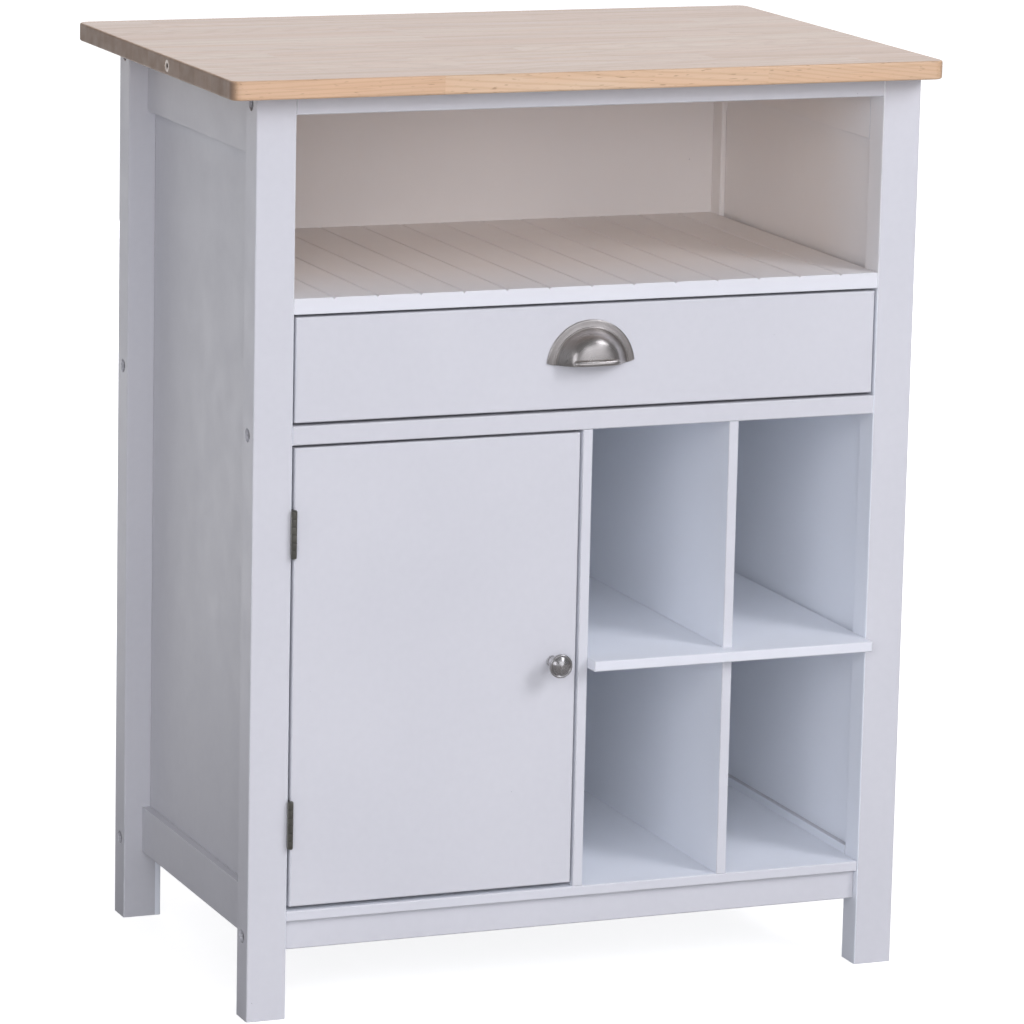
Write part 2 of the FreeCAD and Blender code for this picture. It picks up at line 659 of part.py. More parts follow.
cubby_shelf_front = front - size.cubby_shelf_proud
cubby_shelf_left = partition_right + size.fit_gap
cubby_shelf_right = inner_right - size.fit_gap
cubby_shelf = Piece("cubby_shelf", (cubby_shelf_left, cubby_shelf_front, cubby_shelf_z))
cubby_shelf_outline = cubby_shelf.outline("Z", cubby_shelf_z, [
    (cubby_shelf_left, cubby_shelf_front),
    (cubby_shelf_right, cubby_shelf_front),
    (cubby_shelf_right, back_panel_front - size.fit_gap),
    (divider_right + size.fit_gap, back_panel_front - size.fit_gap),
    (divider_right + size.fit_gap, lap_y - size.fit_gap),
    (divider_left - size.fit_gap, lap_y - size.fit_gap),
    (divider_left - size.fit_gap, back_panel_front - size.fit_gap),
    (cubby_shelf_left, back_panel_front - size.fit_gap),
])
cubby_shelf.extrude("Pad", cubby_shelf_outline, "Z", cubby_shelf_z, cubby_shelf_top)
cubby_shelf.ease("Chamfer", size.board_ease, cubby_shelf.on("Y", cubby_shelf_front))

# Shelf pins under the ends of the cubby shelf
pin = Piece("shelf_pin_form", (zero, zero, zero), counts=False)
pin_face = pin.sided("X", zero, (zero, zero), size.pin_radius)
pin.extrude("Pad", pin_face, "X", zero, size.pin_long)
pin_set = size.pin_set - size.fit_gap
copies("shelf_pins", pin, [
    ((partition_right - pin_set, y, pin_z), straight) for y in partition_pin_y
] + [
    ((inner_right + pin_set, y, pin_z), half_turn) for y in post_pin_y
])

# Drawer runners on the posts
drawer_z = middle_top + size.drawer_lift
drawer_side_top = drawer_z + size.drawer_side_high
runner_z = drawer_z + size.runner_rise
for side in ("left", "right"):
    runner_x = span(inward(side, size.post_wide), inward(side, size.post_wide + size.runner_thick))
    board(
        f"drawer_runner_{side}",
        (runner_x[0], cleat_y[0], runner_z),
        (runner_x[1], cleat_y[1], runner_z + size.runner_high),
    )

# Drawer front with housings for the sides and a groove for the bottom
drawer_front_low = (inner_left + size.side_reveal, door_front, middle_top + size.reveal)
drawer_front_high = (inner_right - size.side_reveal, drawer_back_of_front, shelf_z - size.reveal)
side_near = size.post_wide + size.drawer_side_gap
side_far = side_near + size.drawer_side_thick
drawer_base_z = drawer_z + size.drawer_base_rise
drawer_base_top = drawer_base_z + size.drawer_base_thick
drawer_end = back_panel_front - size.drawer_spare
housing_y = drawer_back_of_front - size.drawer_housing

drawer_front = board("drawer_front", drawer_front_low, drawer_front_high)
drawer_front.ease("Fillet", size.front_ease, drawer_front.on("Y", door_front))
for side in ("left", "right"):
    housing_x = span(inward(side, side_near - size.fit_gap), inward(side, side_far + size.fit_gap))
    drawer_front.cut(
        (housing_x[0], housing_y - size.fit_gap, drawer_z - size.fit_gap),
        (housing_x[1], drawer_back_of_front, drawer_side_top + size.fit_gap),
    )
drawer_front.cut(
    (inward("left", side_far), drawer_back_of_front - size.drawer_base_groove, drawer_base_z - size.fit_gap),
    (inward("right", side_far), drawer_back_of_front, drawer_base_top + size.fit_gap),
)


# Drawer sides with a runner groove outside, and a bottom groove and a housing for the back inside
def make_drawer_side(side):
    x_span = span(inward(side, side_near), inward(side, side_far))
    part = board(
        f"drawer_side_{side}",
        (x_span[0], housing_y, drawer_z),
        (x_span[1], drawer_end, drawer_side_top),
    )
    runner_bottom = size.post_wide + size.runner_thick + size.runner_clear
    groove_x = span(inward(side, side_near), inward(side, runner_bottom))
    part.cut(
        (groove_x[0], drawer_back_of_front, runner_z - size.runner_clear),
        (groove_x[1], drawer_end, runner_z + size.runner_high + size.runner_clear),
    )
    base_x = span(inward(side, side_far - size.drawer_base_groove), inward(side, side_far))
    part.cut(
        (base_x[0], housing_y, drawer_base_z - size.fit_gap),
        (base_x[1], drawer_end, drawer_base_top + size.fit_gap),
    )
    back_x = span(inward(side, side_far - size.drawer_back_housing), inward(side, side_far))
    part.cut(
        (back_x[0], drawer_back_low - size.fit_gap, drawer_base_top),
        (back_x[1], drawer_back_high + size.fit_gap, drawer_side_top),
    )


drawer_back_high = drawer_end - size.drawer_side_thick
drawer_back_low = drawer_back_high - size.drawer_side_thick
for side in ("left", "right"):
    make_drawer_side(side)
back_reach = side_far - size.drawer_back_housing + size.fit_gap
board(
    "drawer_back",
    (inward("left", back_reach), drawer_back_low, drawer_base_top + size.fit_gap),
    (inward("right", back_reach), drawer_back_high, drawer_side_top),
)
base_reach = side_far - size.drawer_base_groove + size.groove_spare
base_front = drawer_back_of_front - size.drawer_base_groove + size.groove_spare
board(
    "drawer_bottom",
    (inward("left", base_reach), base_front, drawer_base_z),
    (inward("right", base_reach), drawer_end, drawer_base_top),
)

# Cup pull: a bowl turned about a line square to the drawer front, cut level below, open behind
pull_z = drawer_front_low[2] + size.pull_rise
pull_axis_z = pull_z + size.pull_high - size.pull_radius
bowl_radius = size.pull_radius - size.pull_flange
bowl_inner = bowl_radius - size.pull_wall
face_radius = bowl_radius * size.pull_face_share
pull_back = door_front - size.pull_flange_step


def shoulder(outer, deep, bands):
    # Quarter ellipse from the flange to the face, in equal steps of its angle.
    turns = [math.pi / 2 * i / bands for i in range(bands + 1)]
    wide = outer - face_radius
    return [
        (middle + face_radius + wide * math.cos(turn), pull_back - deep * math.sin(turn)) for turn in turns
    ]


bowl_deep = size.pull_deep - size.pull_flange_step
pull = Piece("cup_pull", (middle, door_front, pull_axis_z))
pull.turn(
    [
        (middle + bowl_inner, door_front),
        (middle + size.pull_radius, door_front),
        (middle + size.pull_radius, door_front - size.pull_wall),
        *shoulder(bowl_radius, bowl_deep, bands=3),
        (middle, door_front - size.pull_deep),
        (middle, door_front - size.pull_deep + size.pull_wall),
        *shoulder(bowl_inner, bowl_deep - size.pull_wall, bands=2)[::-1],
    ],
    angle=180,
    backward=True,
)
pull.cut(
    (middle - size.pull_radius, door_front - size.pull_deep, pull_axis_z),
    (middle + size.pull_radius, door_front, pull_z),
)

# Door
knob_x = door_right - size.knob_from_edge
knob_z = (door_z + door_top) / 2
door = board("door_panel", (door_left, door_front, door_z), (door_right, door_back, door_top))
door.ease("Fillet", size.front_ease, door.on("Y", door_front))

# Turned knob: a foot, a neck, and a rimmed head with a ring groove in its face
knob_face = door_front - size.knob_long
knob = Piece("door_knob", (knob_x, door_front, knob_z))
knob.turn([
    (knob_x, door_front),
    (knob_x + size.knob_base, door_front),
    (knob_x + size.knob_base, door_front - size.knob_base_thick),
    (knob_x + size.knob_neck, door_front - size.knob_base_thick),
    (knob_x + size.knob_neck, knob_face + size.knob_head_long),
    (knob_x + size.knob_radius, knob_face + size.knob_head_long),
    (knob_x + size.knob_radius, knob_face + size.knob_bevel),
    (knob_x + size.knob_radius - size.knob_bevel, knob_face),
    (knob_x + size.knob_dish, knob_face),
    (knob_x + size.knob_dish, knob_face + size.knob_groove),
    (knob_x + size.knob_dish - size.knob_groove, knob_face + size.knob_groove),
    (knob_x + size.knob_dish - size.knob_groove, knob_face),
    (knob_x, knob_face),
])

# Butt hinges: two leaves in the gap beside the door, with interlaced knuckles on a loose pin
knuckle_pitch = size.hinge_high / size.knuckle_count
hinge_bore = (size.hinge_pin_radius + size.hinge_pin_clear) / math.cos(math.pi / few_sides)
plate_y = (hinge_y + size.knuckle_radius + size.leaf_clear, front + size.leaf_wide)
neck_y = (hinge_y + (hinge_bore + size.knuckle_radius) / 2, plate_y[0])
leaf_faces = {
    "post": (inner_left, inner_left + size.leaf_thick),
    "door": (door_left - size.leaf_thick, door_left),
}


def make_leaf(owner, name, hinge_z):
    x_span = leaf_faces[owner]
    leaf = Piece(f"hinge_{owner}_leaf_{name}", (hinge_x, hinge_y, hinge_z))
    plate = ((x_span[0], plate_y[0], hinge_z), (x_span[1], plate_y[1], hinge_z + size.hinge_high))
    leaf.block(*plate)
    first = zero if owner == "post" else knuckle_pitch
    low = hinge_z + first + size.knuckle_gap / 2
    high = hinge_z + first + knuckle_pitch - size.knuckle_gap / 2
    neck = leaf.block((x_span[0], neck_y[0], low), (x_span[1], neck_y[1], high))
    barrel = leaf.sided("Z", low, (hinge_x, hinge_y), size.knuckle_radius, sides=barrel_sides)
    knuckle = leaf.extrude("Pad", barrel, "Z", low, high)
    eye = leaf.hole("Z", (hinge_x, hinge_y), hinge_bore, low, high)
    leaf.repeat([neck, knuckle, eye], "Z", knuckle_pitch * 2, size.knuckle_count / 2)


for name, level in hinge_middles.items():
    hinge_z = level - size.hinge_high / 2
    for owner in leaf_faces:
        make_leaf(owner, name, hinge_z)
    hinge_pin = Piece(f"hinge_pin_{name}", (hinge_x, hinge_y, hinge_z))
    pin_top = hinge_z + size.hinge_high
    shank = hinge_pin.sided("Z", hinge_z, (hinge_x, hinge_y), size.hinge_pin_radius)
    hinge_pin.extrude("Pad", shank, "Z", hinge_z, pin_top)
    for start, stop in (
        (hinge_z, hinge_z - size.hinge_pin_head_thick),
        (pin_top, pin_top + size.hinge_pin_head_thick),
    ):
        head = hinge_pin.sided("Z", start, (hinge_x, hinge_y), size.hinge_pin_head)
        hinge_pin.extrude("Pad", head, "Z", start, stop)

# Magnetic catch under the middle rail, and its strike plate on the back of the door
catch_right = door_right - size.catch_from_edge
catch_left = catch_right - size.catch_long
plate_back = door_back + size.plate_thick
catch_front = plate_back + size.catch_gap
board(
    "magnetic_catch",
    (catch_left, catch_front, middle_z - size.catch_high),
    (catch_right, catch_front + size.catch_deep, middle_z),
)
board(
    "catch_plate",
    (catch_left + size.plate_margin, door_back, middle_z - size.catch_high),
    (catch_right - size.plate_margin, plate_back, door_top - size.board_ease),
)

# Every feature has to work, every cut has to remove material, every piece has to be sound
doc.recompute()
for item in doc.Objects:
    if "Invalid" in item.State or "Error" in item.State:
        raise RuntimeError(f"{item.Label} failed: {item.State}")
    if item.TypeId == "PartDesign::Pocket" and item.BaseFeature is not None:
        if item.BaseFeature.Shape.Volume - item.Shape.Volume < least:
            raise RuntimeError(f"{item.Label} cuts nothing")
for item in sub_parts:
    if item.Shape.isNull() or not item.Shape.isValid():
        raise RuntimeError(f"{item.Label} has no sound shape")
for item in sub_parts:
    item.Shape.exportStep(f"parts/{item.Label}.step")
print(f"{len(sub_parts)} pieces, {sum(len(item.Shape.Solids) for item in sub_parts)} solids")
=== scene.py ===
import json
import math

import bmesh
import bpy
import numpy as np
from mathutils import Matrix, Vector


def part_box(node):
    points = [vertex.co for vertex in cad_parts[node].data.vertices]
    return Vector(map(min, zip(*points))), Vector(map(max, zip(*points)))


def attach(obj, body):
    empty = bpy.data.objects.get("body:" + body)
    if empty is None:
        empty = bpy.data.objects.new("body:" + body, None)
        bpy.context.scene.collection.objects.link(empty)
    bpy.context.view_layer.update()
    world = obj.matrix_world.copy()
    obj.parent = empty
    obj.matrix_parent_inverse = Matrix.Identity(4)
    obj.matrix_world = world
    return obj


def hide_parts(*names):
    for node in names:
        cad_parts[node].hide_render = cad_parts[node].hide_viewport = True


# Looks of a white post-and-rail kitchen sideboard with a wooden worktop.
# Metres, X to the right, Y from the front to the back, Z up, floor at zero.

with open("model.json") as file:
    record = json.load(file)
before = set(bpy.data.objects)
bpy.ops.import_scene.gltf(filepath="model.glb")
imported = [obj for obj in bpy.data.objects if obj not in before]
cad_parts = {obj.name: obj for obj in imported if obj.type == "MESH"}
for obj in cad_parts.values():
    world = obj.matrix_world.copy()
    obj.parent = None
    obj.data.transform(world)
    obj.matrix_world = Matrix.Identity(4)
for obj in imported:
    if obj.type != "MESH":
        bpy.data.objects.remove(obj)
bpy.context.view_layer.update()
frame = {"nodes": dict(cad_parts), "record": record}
nodes = frame["nodes"]
mm = 0.001
print("frame loaded:", len(nodes), "nodes")


def nodeBox(name):
    low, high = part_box(name)
    return np.array(low), np.array(high)


# Points and faces

def gridFaces(rows, columns, wrapRows=False, wrapColumns=False):
    # Four-sided faces between the lines of a grid of points; a wrapped way joins its last line to its first
    row, column = np.meshgrid(
        np.arange(rows if wrapRows else rows - 1),
        np.arange(columns if wrapColumns else columns - 1),
        indexing="ij",
    )
    nextRow, nextColumn = (row + 1) % rows, (column + 1) % columns
    quads = np.stack([
        row * columns + column, row * columns + nextColumn,
        nextRow * columns + nextColumn, nextRow * columns + column,
    ], -1)
    return quads.reshape(-1, 4).tolist()


cornerShare = 0.49                           # most of a side that one rounding takes up


def softCorners(corners, radius, steps=5):
    # Line through corners, each inner one rounded: a parabola between two points at the radius from it
    corners = np.asarray(corners, float)
    before, here, after = corners[:-2], corners[1:-1], corners[2:]
    radius = np.broadcast_to(radius, len(here))[:, None]

    def towards(other):
        reach = other - here
        long = np.linalg.norm(reach, axis=1, keepdims=True)
        return here + reach / long * np.minimum(radius, long * cornerShare)

    t = np.linspace(0, 1, steps)[None, :, None]
    start, middle, end = towards(before)[:, None], here[:, None], towards(after)[:, None]
    curve = (1 - t) ** 2 * start + 2 * t * (1 - t) * middle + t ** 2 * end
    return np.concatenate([corners[:1], curve.reshape(-1, 2), corners[-1:]])


def sideways(axis):
    # Two directions square to an axis and to each other
    axis = np.asarray(axis, float)
    upright = abs(axis[2]) > 0.9
    first = np.cross([1.0, 0.0, 0.0] if upright else [0.0, 0.0, 1.0], axis)
    first /= np.linalg.norm(first)
    return first, np.cross(axis, first)


def turned(profile, place, axis, steps=56, closed=False):
    # Turned form: each (radius, distance along the axis) of the profile becomes a ring round the axis
    profile = np.asarray(profile, float)
    axis = np.asarray(axis, float)
    first, second = sideways(axis)
    angle = np.linspace(0, 2 * np.pi, steps, endpoint=False)
    ring = np.cos(angle)[:, None] * first + np.sin(angle)[:, None] * second
    points = np.asarray(place) + profile[:, None, 1:] * axis + profile[:, None, :1] * ring[None]
    return points.reshape(-1, 3), gridFaces(len(profile), steps, wrapRows=closed, wrapColumns=True)


def roundBox(low, high, radius, steps=4):
    # Box with rounded edges: a small ball's surface whose eight octants are moved apart to the box's corners
    low, high = np.asarray(low, float), np.asarray(high, float)
    core = (high - low) / 2 - radius
    quarter = np.arange(4)[:, None]
    longitude = (quarter + np.linspace(0, 1, steps)[None]).ravel() * np.pi / 2
    corner = np.repeat(np.arange(4), steps)
    signX, signY = np.where((corner == 0) | (corner == 3), 1, -1), np.where(corner < 2, 1, -1)
    latitude = np.concatenate([np.linspace(-np.pi / 2, 0, steps), np.linspace(0, np.pi / 2, steps)])
    signZ = np.repeat([-1, 1], steps)
    points = np.empty((2 * steps, 4 * steps, 3))
    points[..., 0] = signX * core[0] + radius * np.cos(latitude)[:, None] * np.cos(longitude)
    points[..., 1] = signY * core[1] + radius * np.cos(latitude)[:, None] * np.sin(longitude)
    points[..., 2] = (signZ * core[2] + radius * np.sin(latitude))[:, None]
    faces = gridFaces(2 * steps, 4 * steps, wrapColumns=True)
    lastRow = (2 * steps - 1) * 4 * steps
    faces += [[k * steps for k in range(4)], [lastRow + k * steps for k in range(4)]]
    return points.reshape(-1, 3) + (low + high) / 2, faces


crossLook = {"slotWide": 0.13, "slotLong": 0.55, "slope": 0.09,      # shares of the head's radius
             "domeFall": 0.75}


def crossHead(place, axis, radius, rise, recess, rings=16, steps=64):
    # Screw head: a low dome over polar rings, less a cross-shaped recess, and closed behind
    axis = np.asarray(axis, float)
    first, second = sideways(axis)
    angle = np.linspace(0, 2 * np.pi, steps, endpoint=False)
    share = np.linspace(0, 1, rings)[:, None]
    across, along = share * radius * np.cos(angle), share * radius * np.sin(angle)
    slotWide, slotLong, slope = (radius * crossLook[key] for key in ("slotWide", "slotLong", "slope"))

    def within(distance, limit):
        return np.clip((limit - np.abs(distance)) / slope + 1, 0, 1)

    def slot(a, b):
        return within(a, slotWide) * within(b, slotLong)

    cross = np.maximum(slot(across, along), slot(along, across))
    height = rise * np.sqrt(np.clip(1 - crossLook["domeFall"] * share ** 2, 0, 1)) - recess * cross
    face = np.stack([across, along, height], -1)
    rim = face[-1:] * [1, 1, 0]
    local = np.concatenate([face, rim, rim * 0])
    points = np.asarray(place) + local[..., :1] * first + local[..., 1:2] * second + local[..., 2:] * axis
    return points.reshape(-1, 3), gridFaces(rings + 2, steps, wrapColumns=True)


meshLook = {"merge": 2e-6, "thin": 1e-7, "crease": 32}               # metres, metres, degrees


def closeMesh(name, points, faces):
    # Mesh with its doubles merged and its faces turned outwards
    mesh = bpy.data.meshes.new(name)
    mesh.from_pydata(points.tolist(), [], faces)
    work = bmesh.new()
    work.from_mesh(mesh)
    bmesh.ops.remove_doubles(work, verts=work.verts, dist=meshLook["merge"])
    bmesh.ops.dissolve_degenerate(work, edges=work.edges, dist=meshLook["thin"])
    bmesh.ops.recalc_face_normals(work, faces=work.faces)
    work.to_mesh(mesh)
    work.free()
    return mesh


def smoothMesh(mesh, crease):
    mesh.shade_smooth()
    mesh.set_sharp_from_angle(angle=math.radians(crease))


def makePiece(name, shells, material, body, stands=(), crease=meshLook["crease"]):
    # One object of several closed shells
    points, faces, start = [], [], 0
    for shellPoints, shellFaces in shells:
        points.append(shellPoints)
        faces += [[start + corner for corner in face] for face in shellFaces]
        start += len(shellPoints)
    mesh = closeMesh(name, np.concatenate(points), faces)
    smoothMesh(mesh, crease)
    mesh.materials.append(material)
    piece = bpy.data.objects.new(name, mesh)
    bpy.context.scene.collection.objects.link(piece)
    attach(piece, body)
    if stands:
        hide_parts(*stands)
    return piece


# Finishes

def newFinish(name):
    material = bpy.data.materials.new(name)
    material.use_nodes = True
    material.node_tree.nodes.clear()
    return material, material.node_tree


def addNode(tree, kind, inputs=None, **settings):
    made = tree.nodes.new("ShaderNode" + kind)
    for key, value in settings.items():
        setattr(made, key, value)
    for key, value in (inputs or {}).items():
        if isinstance(value, bpy.types.NodeSocket):
            tree.links.new(value, made.inputs[key])
        else:
            made.inputs[key].default_value = value
    return made


def calc(tree, operation, *values):
    made = addNode(tree, "Math", dict(enumerate(values)), operation=operation)
    return made.outputs[0]


def vectorCalc(tree, operation, *values):
    made = addNode(tree, "VectorMath", dict(enumerate(values)), operation=operation)
    return made.outputs["Value" if operation in ("LENGTH", "DOT_PRODUCT") else "Vector"]


def noise(tree, vector, scale, detail=2.0):
    return addNode(tree, "TexNoise", {"Vector": vector, "Scale": scale, "Detail": detail}).outputs["Fac"]


def spread(tree, value, fromLow, fromHigh, toLow, toHigh):
    # The looks below hold these four numbers together, under names that end in Spread
    made = addNode(tree, "MapRange", {
        "Value": value, "From Min": fromLow, "From Max": fromHigh, "To Min": toLow, "To Max": toHigh,
    })
    return made.outputs["Result"]


def blend(tree, share, first, second, mode="MIX"):
    # In a colour mix the share is socket 0, the colours are 6 and 7, and the result is 2
    made = addNode(tree, "Mix", {0: share, 6: first, 7: second}, data_type="RGBA", blend_type=mode)
    return made.outputs[2]


def ramp(tree, value, stops):
    made = addNode(tree, "ValToRGB", {"Fac": value})
    bar = made.color_ramp.elements
    while len(bar) < len(stops):
        bar.new(0.5)
    for element, (position, colour) in zip(bar, stops):
        element.position = position
        element.color = (*colour, 1)
    return made.outputs["Color"]


def bump(tree, height, strength, distance, normal=None):
    inputs = {"Height": height, "Strength": strength, "Distance": distance}
    if normal is not None:
        inputs["Normal"] = normal
    return addNode(tree, "Bump", inputs).outputs["Normal"]


def closeFinish(tree, colour, roughness, normal, more=None):
    inputs = {"Base Color": colour, "Roughness": roughness, "Normal": normal, **(more or {})}
    shader = addNode(tree, "BsdfPrincipled", inputs)
    output = addNode(tree, "OutputMaterial")
    tree.links.new(shader.outputs[0], output.inputs["Surface"])


paintLook = {
    "colour": (0.645, 0.645, 0.673, 1),
    "innerPaintedLight": (0.905, 0.935, 0.985, 1),    # painted light: a whiter coat on the boards inside stands in for the light that reaches in between them
    "bayPaintedBounceLight": (0.895, 0.850, 0.815, 1),   # painted light: a warmer coat in the open bay stands in for light bounced off the wood above it
    "bayMouthPaintedLight": (0.905, 0.910, 0.925, 1),  # painted light: a paler coat near the bay's mouth, where more light comes in
    "bayFrom": 0.66, "bayTo": 0.69, "frontFrom": -0.20, "frontTo": -0.06,
    "insideSpare": 0.5 * mm,                 # how far the inner coat laps past the side panels' inner faces
    "dulled": (0.955, 0.957, 0.962, 1),      # slow change of tone over a board, as a share of it
    "cloudScale": 4.5, "cloudSpread": (0.35, 0.7, 0, 1),
    "edge": (0.900, 0.900, 0.930, 1),        # lighter tone: a painted highlight along the arrises, and a faint mottle over the boards
    "edgeRadius": 1.1 * mm, "edgeSpread": (0.995, 0.86, 0, 1), "edgeSamples": 4,
    "mottleScale": 120, "mottleSpread": (0.3, 0.8, 0, 0.06),
    "arrisHighlightScale": 55, "arrisHighlightSpread": (0.35, 0.65, 0.15, 0.8),
    "speck": (0.16, 0.15, 0.17, 1), "speckSize": 0.35 * mm, "speckSpacing": 26 * mm, "speckRare": 0.72,
    "peelSize": 1.7 * mm, "peelHigh": 0.12 * mm, "peelStrength": 0.12,    # ripple that the spray gun leaves
    "fineScale": 900, "fineShare": 0.2,
    "shineScale": 35, "shineSpread": (0.3, 0.7, 0.36, 0.46),
}
insideLow = nodeBox("side_panel_left")[1][0]
insideHigh = nodeBox("side_panel_right")[0][0]


def paintFinish(name, innerWay, innerFrom=0.5, leastPaintedLight=0.0):
    # Sprayed satin paint; between the side panels, faces turned to the inner way have the inner coat, a
    # lighter tone that paints the light reaching in there
    look = paintLook
    material, tree = newFinish(name)
    coordinates = addNode(tree, "TexCoord").outputs
    place = coordinates["Object"]
    turnedIn = vectorCalc(tree, "DOT_PRODUCT", coordinates["Normal"], innerWay)
    inside = calc(tree, "GREATER_THAN", turnedIn, innerFrom)
    axes = addNode(tree, "SeparateXYZ", {0: place}).outputs
    fromMiddle = calc(tree, "ABSOLUTE", calc(tree, "SUBTRACT", axes[0], (insideLow + insideHigh) / 2))
    within = calc(tree, "LESS_THAN", fromMiddle, (insideHigh - insideLow) / 2 + look["insideSpare"])
    inside = calc(tree, "MAXIMUM", calc(tree, "MULTIPLY", inside, within), leastPaintedLight)
    # Painted light: the inner coat, warmer high in the open bay and paler near its mouth
    upper = spread(tree, axes[2], look["bayFrom"], look["bayTo"], 0, 1)
    mouth = spread(tree, axes[1], look["frontTo"], look["frontFrom"], 0, 1)
    bay = blend(tree, mouth, look["bayPaintedBounceLight"], look["bayMouthPaintedLight"])
    coat = blend(tree, inside, look["colour"], blend(tree, upper, look["innerPaintedLight"], bay))
    cloud = noise(tree, place, look["cloudScale"], 3)
    colour = blend(tree, spread(tree, cloud, *look["cloudSpread"]), coat, look["dulled"], "MULTIPLY")
    mottle = noise(tree, place, look["mottleScale"])
    colour = blend(tree, spread(tree, mottle, *look["mottleSpread"]), colour, look["edge"])

    bevel = addNode(tree, "Bevel", {"Radius": look["edgeRadius"]}, samples=look["edgeSamples"])
    soft = bevel.outputs["Normal"]
    straight = addNode(tree, "NewGeometry").outputs["Normal"]
    # Painted highlight: the arrises are made lighter in colour, broken up in patches
    edge = spread(tree, vectorCalc(tree, "DOT_PRODUCT", soft, straight), *look["edgeSpread"])
    patches = noise(tree, place, look["arrisHighlightScale"], 3)
    worn = calc(tree, "MULTIPLY", edge, spread(tree, patches, *look["arrisHighlightSpread"]))
    colour = blend(tree, worn, colour, look["edge"])

    cells = addNode(tree, "TexVoronoi", {"Vector": place, "Scale": 1 / look["speckSpacing"]})
    near = calc(tree, "LESS_THAN", cells.outputs["Distance"], look["speckSize"] / look["speckSpacing"])
    chance = addNode(tree, "SeparateColor", {0: cells.outputs["Color"]}).outputs[0]
    rare = calc(tree, "GREATER_THAN", chance, look["speckRare"])
    colour = blend(tree, calc(tree, "MULTIPLY", near, rare), colour, look["speck"])

    peel = noise(tree, place, 1 / look["peelSize"])
    fine = noise(tree, place, look["fineScale"], 1)
    ripple = calc(tree, "ADD", peel, calc(tree, "MULTIPLY", fine, look["fineShare"]))
    normal = bump(tree, ripple, look["peelStrength"], look["peelHigh"], soft)
    shine = spread(tree, noise(tree, place, look["shineScale"], 3), *look["shineSpread"])
    closeFinish(tree, colour, shine, normal)
    return material


topLook = {
    "staveWide": 46 * mm, "staveLong": 330 * mm, "staveRange": (0.75, 1.3),
    "rowsFrom": 1.0, "blockShift": 17.3,     # start of the row numbers; shift of the joints by row
    "fingerPitch": 9 * mm, "fingerLong": 5 * mm,
    "tones": [
        (0.0, (0.64, 0.425, 0.265)), (0.25, (0.69, 0.50, 0.335)), (0.5, (0.66, 0.445, 0.29)),
        (0.75, (0.72, 0.54, 0.37)), (1.0, (0.67, 0.46, 0.30)),
    ],
    "late": (0.50, 0.29, 0.145, 1),          # darker wood of the year rings
    "heartPlace": (3.0, 0.16, 0.12),         # how far a stave's heart may lie off along X, Y and Z
    "skew": 0.22,                            # how far the rings run out of a stave's side
    "ringTurn": 1500.0, "ringWander": 34.0, "ringPower": 4.0, "ringShare": 0.30,
    "wanderScale": (1.6, 16.0, 16.0),
    "flush": (0.70, 0.445, 0.27, 1),         # warmer clouds within a stave
    "flushScale": (5.0, 34.0, 34.0), "flushSpread": (0.40, 0.68, 0, 0.75),
    "streakScale": (3.0, 85.0, 85.0), "streakSpread": (0.45, 0.75, 0, 0.35),
    "pore": (0.36, 0.21, 0.115, 1),
    "fibreScale": (24.0, 900.0, 900.0), "fibreSpread": (0.58, 0.78, 0, 0.30),
    "fleckScale": (95.0, 720.0, 720.0), "fleckSpread": (0.66, 0.74, 0, 0.70),
    "endGrain": (0.265, 0.182, 0.132, 1), "endDark": (0.212, 0.140, 0.096, 1),
    "endSpread": (0.45, 0.95, 0, 0.94), "endToneSpread": (0.25, 0.75, 0, 1),
    "glue": (0.44, 0.27, 0.16, 1), "glueSpread": (0.490, 0.497, 0, 0.35),
    "ringHigh": 0.25, "fibreDeep": 0.8, "grainHigh": 0.10 * mm, "grainStrength": 0.10,
    "shineSpread": (0.3, 0.7, 0.40, 0.52),
}


